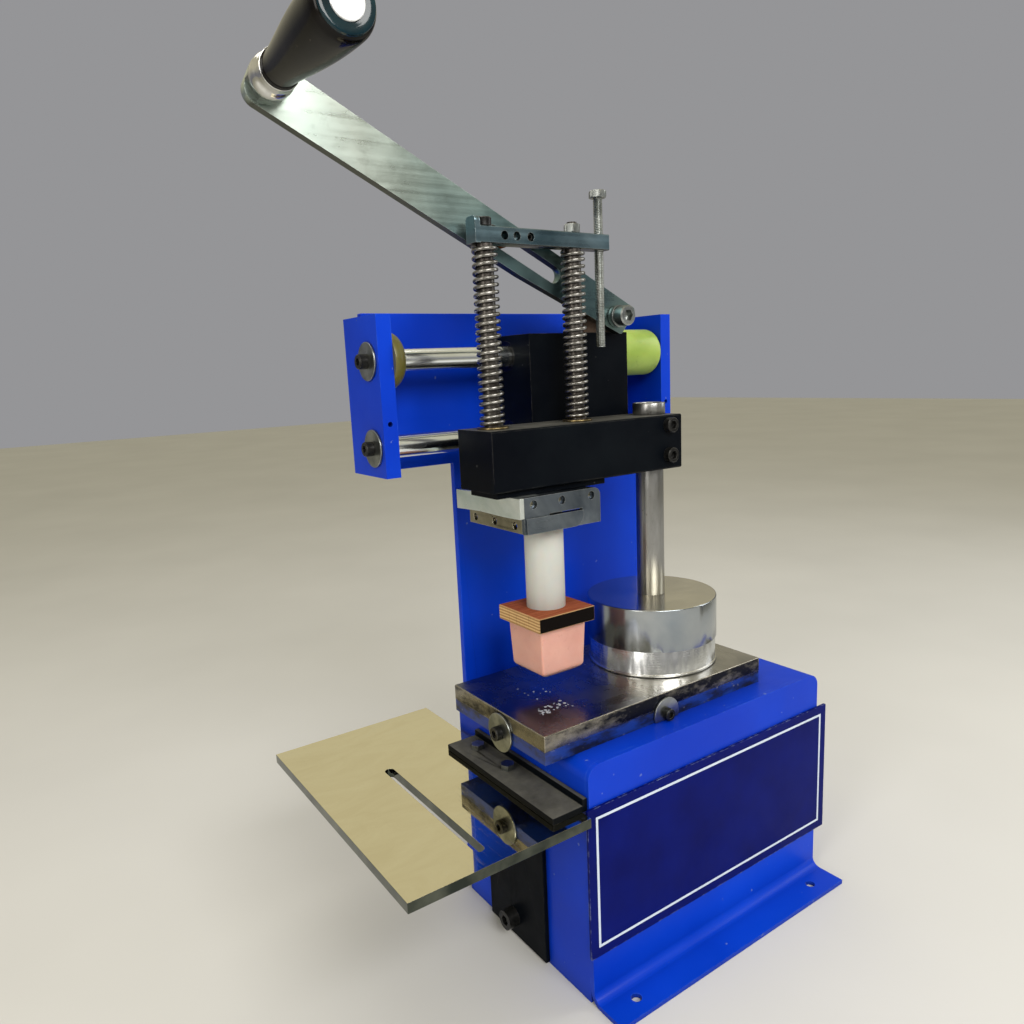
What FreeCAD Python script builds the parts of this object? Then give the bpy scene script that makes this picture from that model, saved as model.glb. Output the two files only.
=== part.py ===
import FreeCAD, Part
import math
import os

V = FreeCAD.Vector

# Hand-lever pad printing press with a sealed ink cup.
# Millimetres. Origin on the floor at the centre of the four foot holes.
# +X right along the rails, +Y to the back, +Z up. The operator stands at -Y.

# Base: an inverted sheet U closed by a front and a rear panel with bolting feet
SHEET = 3.0
BASE_HALF_W = 108.0
BASE_TOP = 155.0
BASE_BEND = 9.0
FRONT_Y = -73.0
REAR_Y = 70.0
FOOT_REACH = 97.5
FOOT_BEND = 6.0
FOOT_HOLE_X = 86.0
FOOT_HOLE_Y = 86.0
FOOT_HOLE_R = 3.3

# Column and rail panel: one T-shaped plate
COLUMN_T = 5.0
COLUMN_X = (-101.0, 70.0)
COLUMN_BOTTOM = 14.0
COLUMN_BOLT_X = (-85.0, 54.0)
COLUMN_BOLT_Z = (40.0, 130.0)
COLUMN_BOLT_R = 4.0
PANEL_Z = (318.5, 418.0)
END_T = 9.5
END_LEFT_X = -171.0
END_RIGHT_X = 66.0
END_Y = 29.0
END_Z = (319.0, 414.5)

# Rails
RAIL_R = 7.0
RAIL_Y = 43.0
RAIL_Z = (388.0, 336.5)
RAIL_SPAN = (END_LEFT_X + END_T, END_RIGHT_X - END_T)
RUN = 0.04
RAIL_WASHER_R = 11.4
RAIL_WASHER_T = 1.5
BUMPER_LEFT = (17.3, 10.0)
BUMPER_RIGHT = (16.5, 45.3)
BUMPER_BORE = 7.3

# Carriage: rear block on the rails, front block across it
CARRIAGE_X = (-72.5, 10.7)
CARRIAGE_Y = (16.0, 62.0)
CARRIAGE_TOP = 401.5
CROSS_X = (-128.3, 24.5)
CROSS_Y = (-21.0, 16.0)
CROSS_Z = (309.5, 345.5)
RAIL_BUSH_R = 10.0
RAIL_BUSH_L = 22.0
BLOCK_SCREW_X = (-62.0, 0.0)
BLOCK_SCREW_Z = 317.0
BLOCK_SCREW_SEAT = CARRIAGE_Y[1] - 7.0

# Head: top bar, two guide rods, clamp and pad
HEAD_Y = -2.6
ROD_X = (-115.2, -50.5)
ROD_R = 5.0
ROD_STUD_R = 3.0
GUIDE_BUSH_R = 7.0
GUIDE_FLANGE = (9.5, 1.2)
BAR_X = (-123.8, -24.6)
BAR_Y = (-7.5, 2.3)
BAR_Z = (450.5, 460.0)
BAR_HOLE_X = (-103.9, -95.3, -85.4)
BAR_HOLE_R = 2.5
BAR_TAB = (3.5, 5.2)
YOKE_X = (-124.0, -41.0)
YOKE_Y = (-17.0, 12.0)
YOKE_Z = (305.5, 309.0)
PLATE_T = 3.0
CLAMP_X = (-110.5, -52.0)
CLAMP_FRONT_Y = -24.6
CLAMP_LOW = 283.5
CLAMP_SPLIT_X = -96.0
CLAMP_SLIT = (-92.0, -66.5, CLAMP_LOW + 9.6)
STEM_X = -80.8
STEM_R = 12.5
PAD_BLOCK = (44.0, 9.5)
PAD_BLOCK_Z = 220.5
PAD_TIP_Z = 184.0
PAD_SIDES = (36.0, 32.6)
PAD_CORNER = 1.6
PAD_DOME_R = 37.0
SPRING_R = 6.45
SPRING_WIRE_R = 1.15
SPRING_TURNS = 25

# Lever
PIVOT_X = -6.2
PIVOT_R = 4.0
LEVER_Y = (8.0, 14.0)
LEVER_W = 25.0
LEVER_RISE = 26.3
LEVER_TAIL = 14.5
LEVER_TAIL_DROP = 8.5
LEVER_TAPER_AT = 80.0
LEVER_END_R = 8.0
LEVER_REACH = 258.0
HANDLE_AT = 249.0
SLOT = (52.0, 112.0)
SLOT_W = 10.4
PIN_X = BAR_HOLE_X[1]
PIN_Z = (BAR_Z[0] + BAR_Z[1]) / 2
PIVOT_Z = PIN_Z - (PIVOT_X - PIN_X) * math.tan(math.radians(LEVER_RISE))
ROLLER_R = 4.5
LUG_X = (-27.0, 7.0)
LUG_Y = (16.5, 36.0)
LUG_TOP = 421.0
LUG_SCREWS = ((-20.0, 28.0), (1.8, 31.0))  # x and y
PIVOT_COLLAR_T = 4.1
PIVOT_HEAD = (6.5, 8.0)
FERRULE_Y = (2.0, -12.0)
GRIP_Y = (-12.4, -88.5)

# Printing plate, its bed and the ink cup
PLATE_X = (-125.4, 64.0)
PLATE_Y = (-56.0, 44.0)
PLATE_TOP = 173.0
BED_TOP = 163.0
BED_INSET = 0.2
CLAMP_FRONT = (-28.6, 159.2, 10.6)  # x, z and washer radius
CLAMP_LEFT = (-11.0, 159.4, 12.3)  # y, z and washer radius
CLAMP_WASHER_T = 1.5
CUP_X = 12.4
CUP_TOP = 220.0
CUP_JOIN_Z = 191.0
CUP_R = 45.0
CUP_BORE_R = 38.0
CUP_FLOOR_GAP = 0.4
CUP_ROD_R = 9.5
CUP_ROD_SCREW_Z = (339.0, 319.0)
CUP_LID = 8.0
CUP_BOSS_R = 16.0
CUP_SOCKET_Z = 206.0
COLLAR = (11.0, 8.0)

# Stop screw
STOP_X = -29.2
STOP_R = 3.0
STOP_Z = (391.4, 482.0)

# Work table at the left of the base
TABLE_X = (-228.0, -111.5)
TABLE_Y = (-79.0, 115.0)
TABLE_TOP = 128.0
TABLE_T = 6.0
TABLE_SLOT_X = -177.0
TABLE_SLOT_Y = (-66.0, 47.0)
TABLE_SLOT_W = 6.0
ANGLE_T = 3.2
BASE_SIDE_X = -BASE_HALF_W
FLAT_X = -133.0
FLAT_Y = (-71.5, 45.0)
FLAT_T = 4.0
POST_Y = (-29.0, 35.0)
POST_SCREWS = ((6.0, 15.0), (3.0, 92.0))  # y and z
SHELF_X = -150.0
TABLE_BOLT = (-120.0, (-8.0, 27.0))

# Name plate
LABEL_X = (-110.5, 116.5)
LABEL_Z = (32.8, 129.5)
LABEL_T = 1.5


def box(x0, x1, y0, y1, z0, z1):
    return Part.makeBox(x1 - x0, y1 - y0, z1 - z0, V(x0, y0, z0))


def cylinder(radius, start, end):
    start, end = V(*start), V(*end)
    return Part.makeCylinder(radius, start.distanceToPoint(end), start, end - start)


def ring(outer, inner, start, end):
    return cylinder(outer, start, end).cut(cylinder(inner, start, end))


def hex_prism(across_flats, start, end):
    """Hexagonal bar between two points of one axis."""
    start, end = V(*start), V(*end)
    along = (end - start).normalize()
    side = along.cross(V(0, 0, 1))
    if side.Length < 0.5:
        side = V(1, 0, 0)
    other = along.cross(side)
    reach = across_flats / math.sqrt(3)
    corners = []
    for step in range(7):
        turn = math.radians(60 * step)
        corners.append(start + side * (reach * math.cos(turn)) + other * (reach * math.sin(turn)))
    return Part.Face(Part.makePolygon(corners)).extrude(end - start)


def screw(seat, along, thread_r, length, head_r, head_h):
    """Cap screw: its head sits on seat and its shank runs along the given direction."""
    seat = V(*seat)
    along = V(*along).normalize()
    top = seat - along * head_h
    body = cylinder(head_r, top, seat).fuse(cylinder(thread_r, seat, seat + along * length))
    return body.cut(hex_prism(head_r, top, top + along * (head_h * 0.55))).removeSplitter()


def hex_screw(seat, along, thread_r, length, across_flats, head_h):
    seat = V(*seat)
    along = V(*along).normalize()
    head = hex_prism(across_flats, seat - along * head_h, seat)
    return head.fuse(cylinder(thread_r, seat, seat + along * length)).removeSplitter()


def group(solids):
    return solids[0] if len(solids) == 1 else Part.makeCompound(solids)


def rounded_rectangle(cx, cy, z, side, corner):
    """Wire of a square with rounded corners, level at height z."""
    half = side / 2
    run = half - corner
    mid = corner * math.sqrt(0.5)
    edges = []
    for turn in range(4):
        angle = math.radians(90 * turn)

        def at(x, y):
            return V(cx + x * math.cos(angle) - y * math.sin(angle),
                     cy + x * math.sin(angle) + y * math.cos(angle), z)

        edges.append(Part.LineSegment(at(half, -run), at(half, run)).toShape())
        edges.append(Part.Arc(at(half, run), at(run + mid, run + mid), at(run, half)).toShape())
    return Part.Wire(edges)


# Base ---------------------------------------------------------------------

def arch_outline(inset, y):
    """Face of the base's outline at y: square feet, rounded top corners."""
    half = BASE_HALF_W - inset
    top = BASE_TOP - inset
    bend = BASE_BEND - inset
    mid = bend * (1 - math.sqrt(0.5))
    left_foot, left_top = V(-half, y, 0), V(-half, y, top - bend)
    right_foot, right_top = V(half, y, 0), V(half, y, top - bend)
    edges = [
        Part.LineSegment(left_foot, left_top).toShape(),
        Part.Arc(left_top, V(-half + mid, y, top - mid), V(-half + bend, y, top)).toShape(),
        Part.LineSegment(V(-half + bend, y, top), V(half - bend, y, top)).toShape(),
        Part.Arc(V(half - bend, y, top), V(half - mid, y, top - mid), right_top).toShape(),
        Part.LineSegment(right_top, right_foot).toShape(),
        Part.LineSegment(right_foot, left_foot).toShape(),
    ]
    return Part.Face(Part.Wire(edges))


def base_shell():
    length = V(0, REAR_Y - FRONT_Y - 2 * SHEET, 0)
    outer = arch_outline(0, FRONT_Y + SHEET).extrude(length)
    return outer.cut(arch_outline(SHEET, FRONT_Y + SHEET).extrude(length))


def footed_panel(face_y, side):
    """Upright panel whose lower edge turns outward into a foot; side is -1 front, +1 rear."""
    inner_y = face_y - side * SHEET
    bend_y = face_y + side * FOOT_BEND
    tip_y = side * FOOT_REACH
    inner_mid = FOOT_BEND * (1 - math.sqrt(0.5))
    outer_bend = FOOT_BEND + SHEET
    outer_mid = outer_bend * (1 - math.sqrt(0.5))
    x = -BASE_HALF_W
    edges = [
        Part.LineSegment(V(x, face_y, BASE_TOP), V(x, face_y, SHEET + FOOT_BEND)).toShape(),
        Part.Arc(V(x, face_y, SHEET + FOOT_BEND),
                 V(x, face_y + side * inner_mid, SHEET + inner_mid),
                 V(x, bend_y, SHEET)).toShape(),
        Part.LineSegment(V(x, bend_y, SHEET), V(x, tip_y, SHEET)).toShape(),
        Part.LineSegment(V(x, tip_y, SHEET), V(x, tip_y, 0)).toShape(),
        Part.LineSegment(V(x, tip_y, 0), V(x, bend_y, 0)).toShape(),
        Part.Arc(V(x, bend_y, 0), V(x, inner_y + side * outer_mid, outer_mid),
                 V(x, inner_y, outer_bend)).toShape(),
        Part.LineSegment(V(x, inner_y, outer_bend), V(x, inner_y, BASE_TOP)).toShape(),
        Part.LineSegment(V(x, inner_y, BASE_TOP), V(x, face_y, BASE_TOP)).toShape(),
    ]
    panel = Part.Face(Part.Wire(edges)).extrude(V(2 * BASE_HALF_W, 0, 0))
    reach = V(0, 2 * FOOT_REACH, 0)
    panel = panel.common(arch_outline(0, -FOOT_REACH).extrude(reach))
    for foot_x in (-FOOT_HOLE_X, FOOT_HOLE_X):
        hole_y = side * FOOT_HOLE_Y
        panel = panel.cut(cylinder(FOOT_HOLE_R, (foot_x, hole_y, -1), (foot_x, hole_y, SHEET + 1)))
    return panel


def column_bolt_holes(y0, y1, radius):
    return [cylinder(radius, (x, y0, z), (x, y1, z)) for x in COLUMN_BOLT_X for z in COLUMN_BOLT_Z]


def base_rear_panel():
    panel = footed_panel(REAR_Y, 1)
    for hole in column_bolt_holes(REAR_Y - SHEET - 1, REAR_Y + 1, COLUMN_BOLT_R + 0.2):
        panel = panel.cut(hole)
    return panel


def column_plate():
    column = box(*COLUMN_X, REAR_Y, REAR_Y + COLUMN_T, COLUMN_BOTTOM, PANEL_Z[0])
    panel = box(*RAIL_SPAN, REAR_Y, REAR_Y + COLUMN_T, *PANEL_Z)
    plate = column.fuse(panel).removeSplitter()
    for hole in column_bolt_holes(REAR_Y - 1, REAR_Y + COLUMN_T + 1, COLUMN_BOLT_R + 0.2):
        plate = plate.cut(hole)
    return plate


def column_bolts():
    bolts = []
    nut_y = REAR_Y - SHEET
    for x in COLUMN_BOLT_X:
        for z in COLUMN_BOLT_Z:
            seat = (x, REAR_Y + COLUMN_T, z)
            bolts.append(hex_screw(seat, (0, -1, 0), COLUMN_BOLT_R, COLUMN_T + SHEET + 8, 13.0, 5.3))
            nut = hex_prism(13.0, (x, nut_y, z), (x, nut_y - 6.5, z))
            bolts.append(nut.cut(cylinder(COLUMN_BOLT_R, (x, nut_y + 1, z), (x, nut_y - 8, z))))
    return group(bolts)


# Rail housing -------------------------------------------------------------

def rail_end(x0):
    plate = box(x0, x0 + END_T, END_Y, REAR_Y + COLUMN_T, *END_Z)
    for z in RAIL_Z:
        plate = plate.cut(cylinder(2.8, (x0 - 1, RAIL_Y, z), (x0 + END_T + 1, RAIL_Y, z)))
    mid_x = x0 + END_T / 2
    pinhole = cylinder(1.6, (mid_x, END_Y - 1, 351), (mid_x, END_Y + 12, 351))
    return plate.cut(pinhole)


def guide_rail(z):
    rail = cylinder(RAIL_R, (RAIL_SPAN[0], RAIL_Y, z), (RAIL_SPAN[1], RAIL_Y, z))
    for end, inward in ((RAIL_SPAN[0], 1), (RAIL_SPAN[1], -1)):
        rail = rail.cut(cylinder(2.55, (end - inward, RAIL_Y, z), (end + inward * 16, RAIL_Y, z)))
    return rail


def rail_outer_faces():
    return ((END_LEFT_X, -1), (END_RIGHT_X, 1))


def rail_washers():
    return group([ring(RAIL_WASHER_R, 2.8, (face, RAIL_Y, z), (face + out * RAIL_WASHER_T, RAIL_Y, z))
                  for face, out in rail_outer_faces() for z in RAIL_Z])


def rail_screws():
    return group([screw((face + out * RAIL_WASHER_T, RAIL_Y, z), (-out, 0, 0), 2.5, 24, 4.4, 5.5)
                  for face, out in rail_outer_faces() for z in RAIL_Z])


def bumper_left():
    """Thin cast buffer whose free face is domed down to the rail."""
    radius, length = BUMPER_LEFT
    start, end = (RAIL_SPAN[0], RAIL_Y, RAIL_Z[0]), (RAIL_SPAN[0] + length, RAIL_Y, RAIL_Z[0])
    body = cylinder(radius, start, end)
    rim = [e for e in body.Edges if e.BoundBox.XMin > end[0] - 0.1]
    return body.makeFillet(length - 1.5, rim).cut(cylinder(BUMPER_BORE, start, end))


def bumper_right():
    radius, length = BUMPER_RIGHT
    start = RAIL_SPAN[1]
    return ring(radius, BUMPER_BORE, (start - length, RAIL_Y, RAIL_Z[0]), (start, RAIL_Y, RAIL_Z[0]))


# Printing plate -----------------------------------------------------------

def bed_plate():
    bed = box(PLATE_X[0] + BED_INSET, PLATE_X[1] - BED_INSET,
              PLATE_Y[0] + BED_INSET, PLATE_Y[1] - BED_INSET, BASE_TOP, BED_TOP)
    y, z, _ = CLAMP_LEFT
    bed = bed.cut(cylinder(2.05, (PLATE_X[0] - 1, y, z), (PLATE_X[0] + 14, y, z)))
    x, z, _ = CLAMP_FRONT
    return bed.cut(cylinder(1.55, (x, PLATE_Y[0] - 1, z), (x, PLATE_Y[0] + 14, z)))


def cliche_plate():
    plate = box(*PLATE_X, *PLATE_Y, BED_TOP, PLATE_TOP)
    return plate.makeChamfer(0.4, [e for e in plate.Edges if e.BoundBox.ZMin > PLATE_TOP - 0.1])


def cliche_washers():
    """Large washers; the front one is cut flat below, where it stands on the base."""
    x, z, r = CLAMP_FRONT
    front = ring(r, 2.2, (x, PLATE_Y[0] - CLAMP_WASHER_T, z), (x, PLATE_Y[0], z))
    front = front.cut(box(x - r, x + r, PLATE_Y[0] - 3, PLATE_Y[0] + 1, z - r - 1, BASE_TOP + 0.2))
    y, z, r = CLAMP_LEFT
    left = ring(r, 2.2, (PLATE_X[0] - CLAMP_WASHER_T, y, z), (PLATE_X[0], y, z))
    return group([front, left])


def cliche_screws():
    x, z, _ = CLAMP_FRONT
    front = screw((x, PLATE_Y[0] - CLAMP_WASHER_T, z), (0, 1, 0), 1.5, 12, 3.8, 3.6)
    y, z, _ = CLAMP_LEFT
    left = screw((PLATE_X[0] - CLAMP_WASHER_T, y, z), (1, 0, 0), 2.0, 13, 4.4, 4.2)
    return group([front, left])


def name_plate():
    plate = box(*LABEL_X, FRONT_Y - LABEL_T, FRONT_Y, *LABEL_Z)
    upright = [e for e in plate.Edges if e.BoundBox.YLength > LABEL_T / 2]
    return plate.makeFillet(0.8, upright)


# Work table ---------------------------------------------------------------

def table_bolt_points():
    x, rows = TABLE_BOLT
    return [(x, y) for y in rows]


def work_table():
    table = box(*TABLE_X, *TABLE_Y, TABLE_TOP - TABLE_T, TABLE_TOP)
    half = TABLE_SLOT_W / 2
    y0, y1 = TABLE_SLOT_Y
    under, over = TABLE_TOP - TABLE_T - 1, TABLE_TOP + 1
    slot = box(TABLE_SLOT_X - half, TABLE_SLOT_X + half, y0 + half, y1 - half, under, over)
    for y in (y0 + half, y1 - half):
        slot = slot.fuse(cylinder(half, (TABLE_SLOT_X, y, under), (TABLE_SLOT_X, y, over)))
    table = table.cut(slot)
    for x, y in table_bolt_points():
        table = table.cut(cylinder(2.7, (x, y, under), (x, y, over)))
    return table


def table_bracket_upper():
    """Black angle: one leg on the table, the other against the base's side."""
    top = TABLE_TOP + FLAT_T
    flat = box(FLAT_X, BASE_SIDE_X, *FLAT_Y, TABLE_TOP, top)
    upright = box(BASE_SIDE_X - ANGLE_T, BASE_SIDE_X, *FLAT_Y, top, top + 4)
    angle = flat.fuse(upright).removeSplitter()
    for x, y in table_bolt_points():
        angle = angle.cut(cylinder(2.7, (x, y, TABLE_TOP - 1), (x, y, top + 1)))
    return angle


def table_bracket_lower():
    """Black angle that carries the table from below, down the base's side to the floor."""
    shelf_top = TABLE_TOP - TABLE_T
    shelf = box(SHELF_X, BASE_SIDE_X, *POST_Y, shelf_top - 4, shelf_top)
    post = box(BASE_SIDE_X - ANGLE_T, BASE_SIDE_X, *POST_Y, 1.0, shelf_top - 4)
    angle = shelf.fuse(post).removeSplitter()
    for x, y in table_bolt_points():
        angle = angle.cut(cylinder(2.7, (x, y, shelf_top - 5), (x, y, shelf_top + 1)))
    for y, z in POST_SCREWS:
        angle = angle.cut(cylinder(4.2, (BASE_SIDE_X - 5, y, z), (BASE_SIDE_X, y, z)))
    return angle


def table_bolts():
    solids = []
    for x, y in table_bolt_points():
        under = TABLE_TOP - TABLE_T - 4
        solids.append(hex_screw((x, y, TABLE_TOP + FLAT_T), (0, 0, -1), 2.5, 21, 8.0, 3.5))
        nut = hex_prism(8.0, (x, y, under), (x, y, under - 4))
        solids.append(nut.cut(cylinder(2.5, (x, y, under + 1), (x, y, under - 5))))
    return group(solids)


def bracket_screws():
    return group([screw((BASE_SIDE_X - ANGLE_T, y, z), (1, 0, 0), 4.0, 14, 6.5, 8.0)
                  for y, z in POST_SCREWS])


def base_shell_tapped():
    shell = base_shell()
    for y, z in POST_SCREWS:
        shell = shell.cut(cylinder(4.05, (BASE_SIDE_X - 1, y, z), (BASE_SIDE_X + SHEET + 1, y, z)))
    return shell


# Carriage -----------------------------------------------------------------

def carriage_block():
    block = box(*CARRIAGE_X, *CARRIAGE_Y, CROSS_Z[0], CARRIAGE_TOP)
    for z in RAIL_Z:
        block = block.cut(cylinder(RAIL_BUSH_R, (CARRIAGE_X[0] - 1, RAIL_Y, z),
                                   (CARRIAGE_X[1] + 1, RAIL_Y, z)))
    for x in BLOCK_SCREW_X:
        z = BLOCK_SCREW_Z
        block = block.cut(cylinder(5.3, (x, BLOCK_SCREW_SEAT, z), (x, CARRIAGE_Y[1] + 1, z)))
        block = block.cut(cylinder(3.2, (x, CARRIAGE_Y[0] - 1, z), (x, CARRIAGE_Y[1], z)))
    for x, y in LUG_SCREWS:
        block = block.cut(cylinder(2.55, (x, y, CARRIAGE_TOP - 12), (x, y, CARRIAGE_TOP + 1)))
    return block


def rail_bushings():
    """Four plain bushes, two on each rail."""
    bushes = []
    for z in RAIL_Z:
        for start in (CARRIAGE_X[0], CARRIAGE_X[1] - RAIL_BUSH_L):
            bushes.append(ring(RAIL_BUSH_R, RAIL_R + RUN, (start, RAIL_Y, z),
                               (start + RAIL_BUSH_L, RAIL_Y, z)))
    return group(bushes)


def front_block():
    block = box(*CROSS_X, *CROSS_Y, *CROSS_Z)
    long_edges = [e for e in block.Edges if e.BoundBox.XLength > 10 and e.BoundBox.YMin < 0]
    block = block.makeChamfer(0.8, long_edges)
    over, under = CROSS_Z[1] + 1, CROSS_Z[0] - 1
    for x in ROD_X:
        block = block.cut(cylinder(GUIDE_BUSH_R, (x, HEAD_Y, under), (x, HEAD_Y, over)))
    block = block.cut(cylinder(CUP_ROD_R, (CUP_X, HEAD_Y, under), (CUP_X, HEAD_Y, over)))
    for z in CUP_ROD_SCREW_Z:
        block = block.cut(cylinder(3.05, (CUP_X, CROSS_Y[0] - 1, z), (CUP_X, HEAD_Y, z)))
    for x in BLOCK_SCREW_X:
        z = BLOCK_SCREW_Z
        block = block.cut(cylinder(3.05, (x, CROSS_Y[1] - 13, z), (x, CROSS_Y[1] + 1, z)))
    return block


def guide_bushings():
    """Flanged bronze bushes for the two head rods; the springs stand on their flanges."""
    flange_r, flange_t = GUIDE_FLANGE
    bushes = []
    for x in ROD_X:
        low, top = (x, HEAD_Y, CROSS_Z[0]), (x, HEAD_Y, CROSS_Z[1])
        body = cylinder(GUIDE_BUSH_R, low, top)
        flange = cylinder(flange_r, top, (x, HEAD_Y, CROSS_Z[1] + flange_t))
        bore = cylinder(ROD_R + RUN, (x, HEAD_Y, CROSS_Z[0] - 1), (x, HEAD_Y, CROSS_Z[1] + 3))
        bushes.append(body.fuse(flange).cut(bore).removeSplitter())
    return group(bushes)


def lever_lug():
    lug = box(*LUG_X, *LUG_Y, CARRIAGE_TOP, LUG_TOP)
    top_ends = [e for e in lug.Edges
                if e.BoundBox.ZMin > LUG_TOP - 0.1 and e.BoundBox.YLength > 5]
    lug = lug.makeFillet(5.0, top_ends)
    lug = lug.cut(cylinder(3.05, (PIVOT_X, LUG_Y[0] - 1, PIVOT_Z), (PIVOT_X, LUG_Y[0] + 13, PIVOT_Z)))
    for x, y in LUG_SCREWS:
        lug = lug.cut(cylinder(2.7, (x, y, CARRIAGE_TOP - 1), (x, y, LUG_TOP + 1)))
        lug = lug.cut(cylinder(4.6, (x, y, LUG_TOP - 5), (x, y, LUG_TOP + 1)))
    return lug


def carriage_screws():
    """Cap screws of the front block, the lever's lug and the cup's rod."""
    screws = [screw((x, BLOCK_SCREW_SEAT, BLOCK_SCREW_Z), (0, -1, 0), 3.0, 51, 5.0, 6.0)
              for x in BLOCK_SCREW_X]
    screws += [screw((x, y, LUG_TOP - 5), (0, 0, -1), 2.5, 16, 4.4, 4.6) for x, y in LUG_SCREWS]
    screws += [screw((CUP_X, CROSS_Y[0], z), (0, 1, 0), 3.0, 8.5, 5.0, 5.0) for z in CUP_ROD_SCREW_Z]
    return group(screws)


def pivot_screw():
    """Shoulder screw that the lever turns on."""
    def at(y):
        return (PIVOT_X, y, PIVOT_Z)

    seat_y = LEVER_Y[0] - 0.3 - PIVOT_COLLAR_T
    head = screw(at(seat_y), (0, 1, 0), PIVOT_R, LUG_Y[0] - seat_y, *PIVOT_HEAD)
    return head.fuse(cylinder(3.0, at(LUG_Y[0]), at(LUG_Y[0] + 12))).removeSplitter()


def pivot_spacers():
    def at(y):
        return (PIVOT_X, y, PIVOT_Z)

    front = ring(7.2, PIVOT_R + 0.1, at(LEVER_Y[0] - 0.3 - PIVOT_COLLAR_T), at(LEVER_Y[0] - 0.3))
    back = ring(7.5, PIVOT_R + 0.1, at(LEVER_Y[1] + 0.3), at(LUG_Y[0]))
    return group([front, back])


# Ink cup ------------------------------------------------------------------

def cup_axis(z):
    return (CUP_X, HEAD_Y, z)


def cup_rod():
    """Rod from the front block down into the cup's lid."""
    return cylinder(CUP_ROD_R, cup_axis(CUP_SOCKET_Z + 0.4), cup_axis(CROSS_Z[1] + COLLAR[1] - 0.6))


def cup_rod_collar():
    return ring(COLLAR[0], CUP_ROD_R, cup_axis(CROSS_Z[1]), cup_axis(CROSS_Z[1] + COLLAR[1]))


def cup_body():
    body = cylinder(CUP_R, cup_axis(CUP_JOIN_Z), cup_axis(CUP_TOP))
    rim = [e for e in body.Edges if e.BoundBox.ZMin > CUP_TOP - 0.1]
    body = body.makeFillet(0.8, rim)
    hollow = cylinder(CUP_BORE_R, cup_axis(CUP_JOIN_Z - 1), cup_axis(CUP_TOP - CUP_LID))
    boss = cylinder(CUP_BOSS_R, cup_axis(200.0), cup_axis(CUP_TOP - CUP_LID))
    socket = cylinder(CUP_ROD_R + 0.05, cup_axis(CUP_SOCKET_Z), cup_axis(CUP_TOP + 1))
    groove = ring(42.8, 41.0, cup_axis(CUP_JOIN_Z - 1), cup_axis(CUP_JOIN_Z + 1))
    return body.cut(hollow.cut(boss)).cut(socket).cut(groove)


def cup_ring():
    """Hardened doctor ring that wipes the plate."""
    low = PLATE_TOP + CUP_FLOOR_GAP
    body = cylinder(44.2, cup_axis(low), cup_axis(CUP_JOIN_Z))
    lip = cylinder(44.9, cup_axis(low), cup_axis(low + 1.6))
    bore = cylinder(CUP_BORE_R + 1, cup_axis(low - 1), cup_axis(CUP_JOIN_Z + 1))
    groove = ring(42.8, 41.0, cup_axis(CUP_JOIN_Z - 1), cup_axis(CUP_JOIN_Z + 1))
    return body.fuse(lip).cut(bore).cut(groove).removeSplitter()


def cup_seal():
    return ring(42.8, 41.0, cup_axis(CUP_JOIN_Z - 1), cup_axis(CUP_JOIN_Z + 1))


def cup_magnet():
    return ring(34.0, CUP_BOSS_R, cup_axis(CUP_TOP - CUP_LID - 6), cup_axis(CUP_TOP - CUP_LID))


# Head ---------------------------------------------------------------------

def top_bar():
    bar = box(*BAR_X, *BAR_Y, *BAR_Z)
    bar = bar.makeChamfer(0.5, [e for e in bar.Edges if e.BoundBox.XLength > 50])
    thick, rise = BAR_TAB
    tab = box(BAR_X[0], BAR_X[0] + thick, BAR_Y[0], BAR_Y[1], BAR_Z[0], BAR_Z[1] + rise)
    tab = tab.makeFillet(2.8, [e for e in tab.Edges if e.BoundBox.ZMin > BAR_Z[1] and e.BoundBox.XLength > 1])
    bar = bar.fuse(tab).removeSplitter()
    over, under = BAR_Z[1] + 1, BAR_Z[0] - 1
    for x in ROD_X:
        bar = bar.cut(cylinder(ROD_STUD_R + 0.1, (x, HEAD_Y, under), (x, HEAD_Y, over)))
    bar = bar.cut(cylinder(STOP_R + 0.05, (STOP_X, HEAD_Y, under), (STOP_X, HEAD_Y, over)))
    for x in BAR_HOLE_X:
        bar = bar.cut(cylinder(BAR_HOLE_R, (x, BAR_Y[0] - 1, PIN_Z), (x, BAR_Y[1] + 1, PIN_Z)))
    return bar


def head_rod(x, stud_top):
    """Guide rod with a shouldered stud through the top bar; stud_top is the stud's end."""
    body = cylinder(ROD_R, (x, HEAD_Y, YOKE_Z[1]), (x, HEAD_Y, BAR_Z[0]))
    stud = cylinder(ROD_STUD_R, (x, HEAD_Y, BAR_Z[0]), (x, HEAD_Y, stud_top))
    foot = cylinder(ROD_STUD_R, (x, HEAD_Y, YOKE_Z[0]), (x, HEAD_Y, YOKE_Z[1]))
    return body.fuse(stud).fuse(foot).removeSplitter()


def head_rod_left():
    rod = head_rod(ROD_X[0], BAR_Z[1])
    return rod.cut(cylinder(2.05, (ROD_X[0], HEAD_Y, BAR_Z[0] - 8), (ROD_X[0], HEAD_Y, BAR_Z[1] + 1)))


def head_rod_right():
    return head_rod(ROD_X[1], BAR_Z[1] + 6.4)


def head_screws():
    """Cap screw in the left rod's end and the set screw that holds the spare pin hole."""
    x = BAR_HOLE_X[2]
    grub = cylinder(BAR_HOLE_R, (x, BAR_Y[0] + 1.2, PIN_Z), (x, BAR_Y[1], PIN_Z))
    grub = grub.cut(hex_prism(2.5, (x, BAR_Y[0] + 1, PIN_Z), (x, BAR_Y[0] + 3.5, PIN_Z)))
    return group([screw((ROD_X[0], HEAD_Y, BAR_Z[1]), (0, 0, -1), 2.0, 12, 4.8, 5.0), grub])


def rod_top_nut():
    low, top = (ROD_X[1], HEAD_Y, BAR_Z[1]), (ROD_X[1], HEAD_Y, BAR_Z[1] + 5.2)
    return hex_prism(9.2, low, top).cut(cylinder(ROD_STUD_R, low, top))


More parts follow.
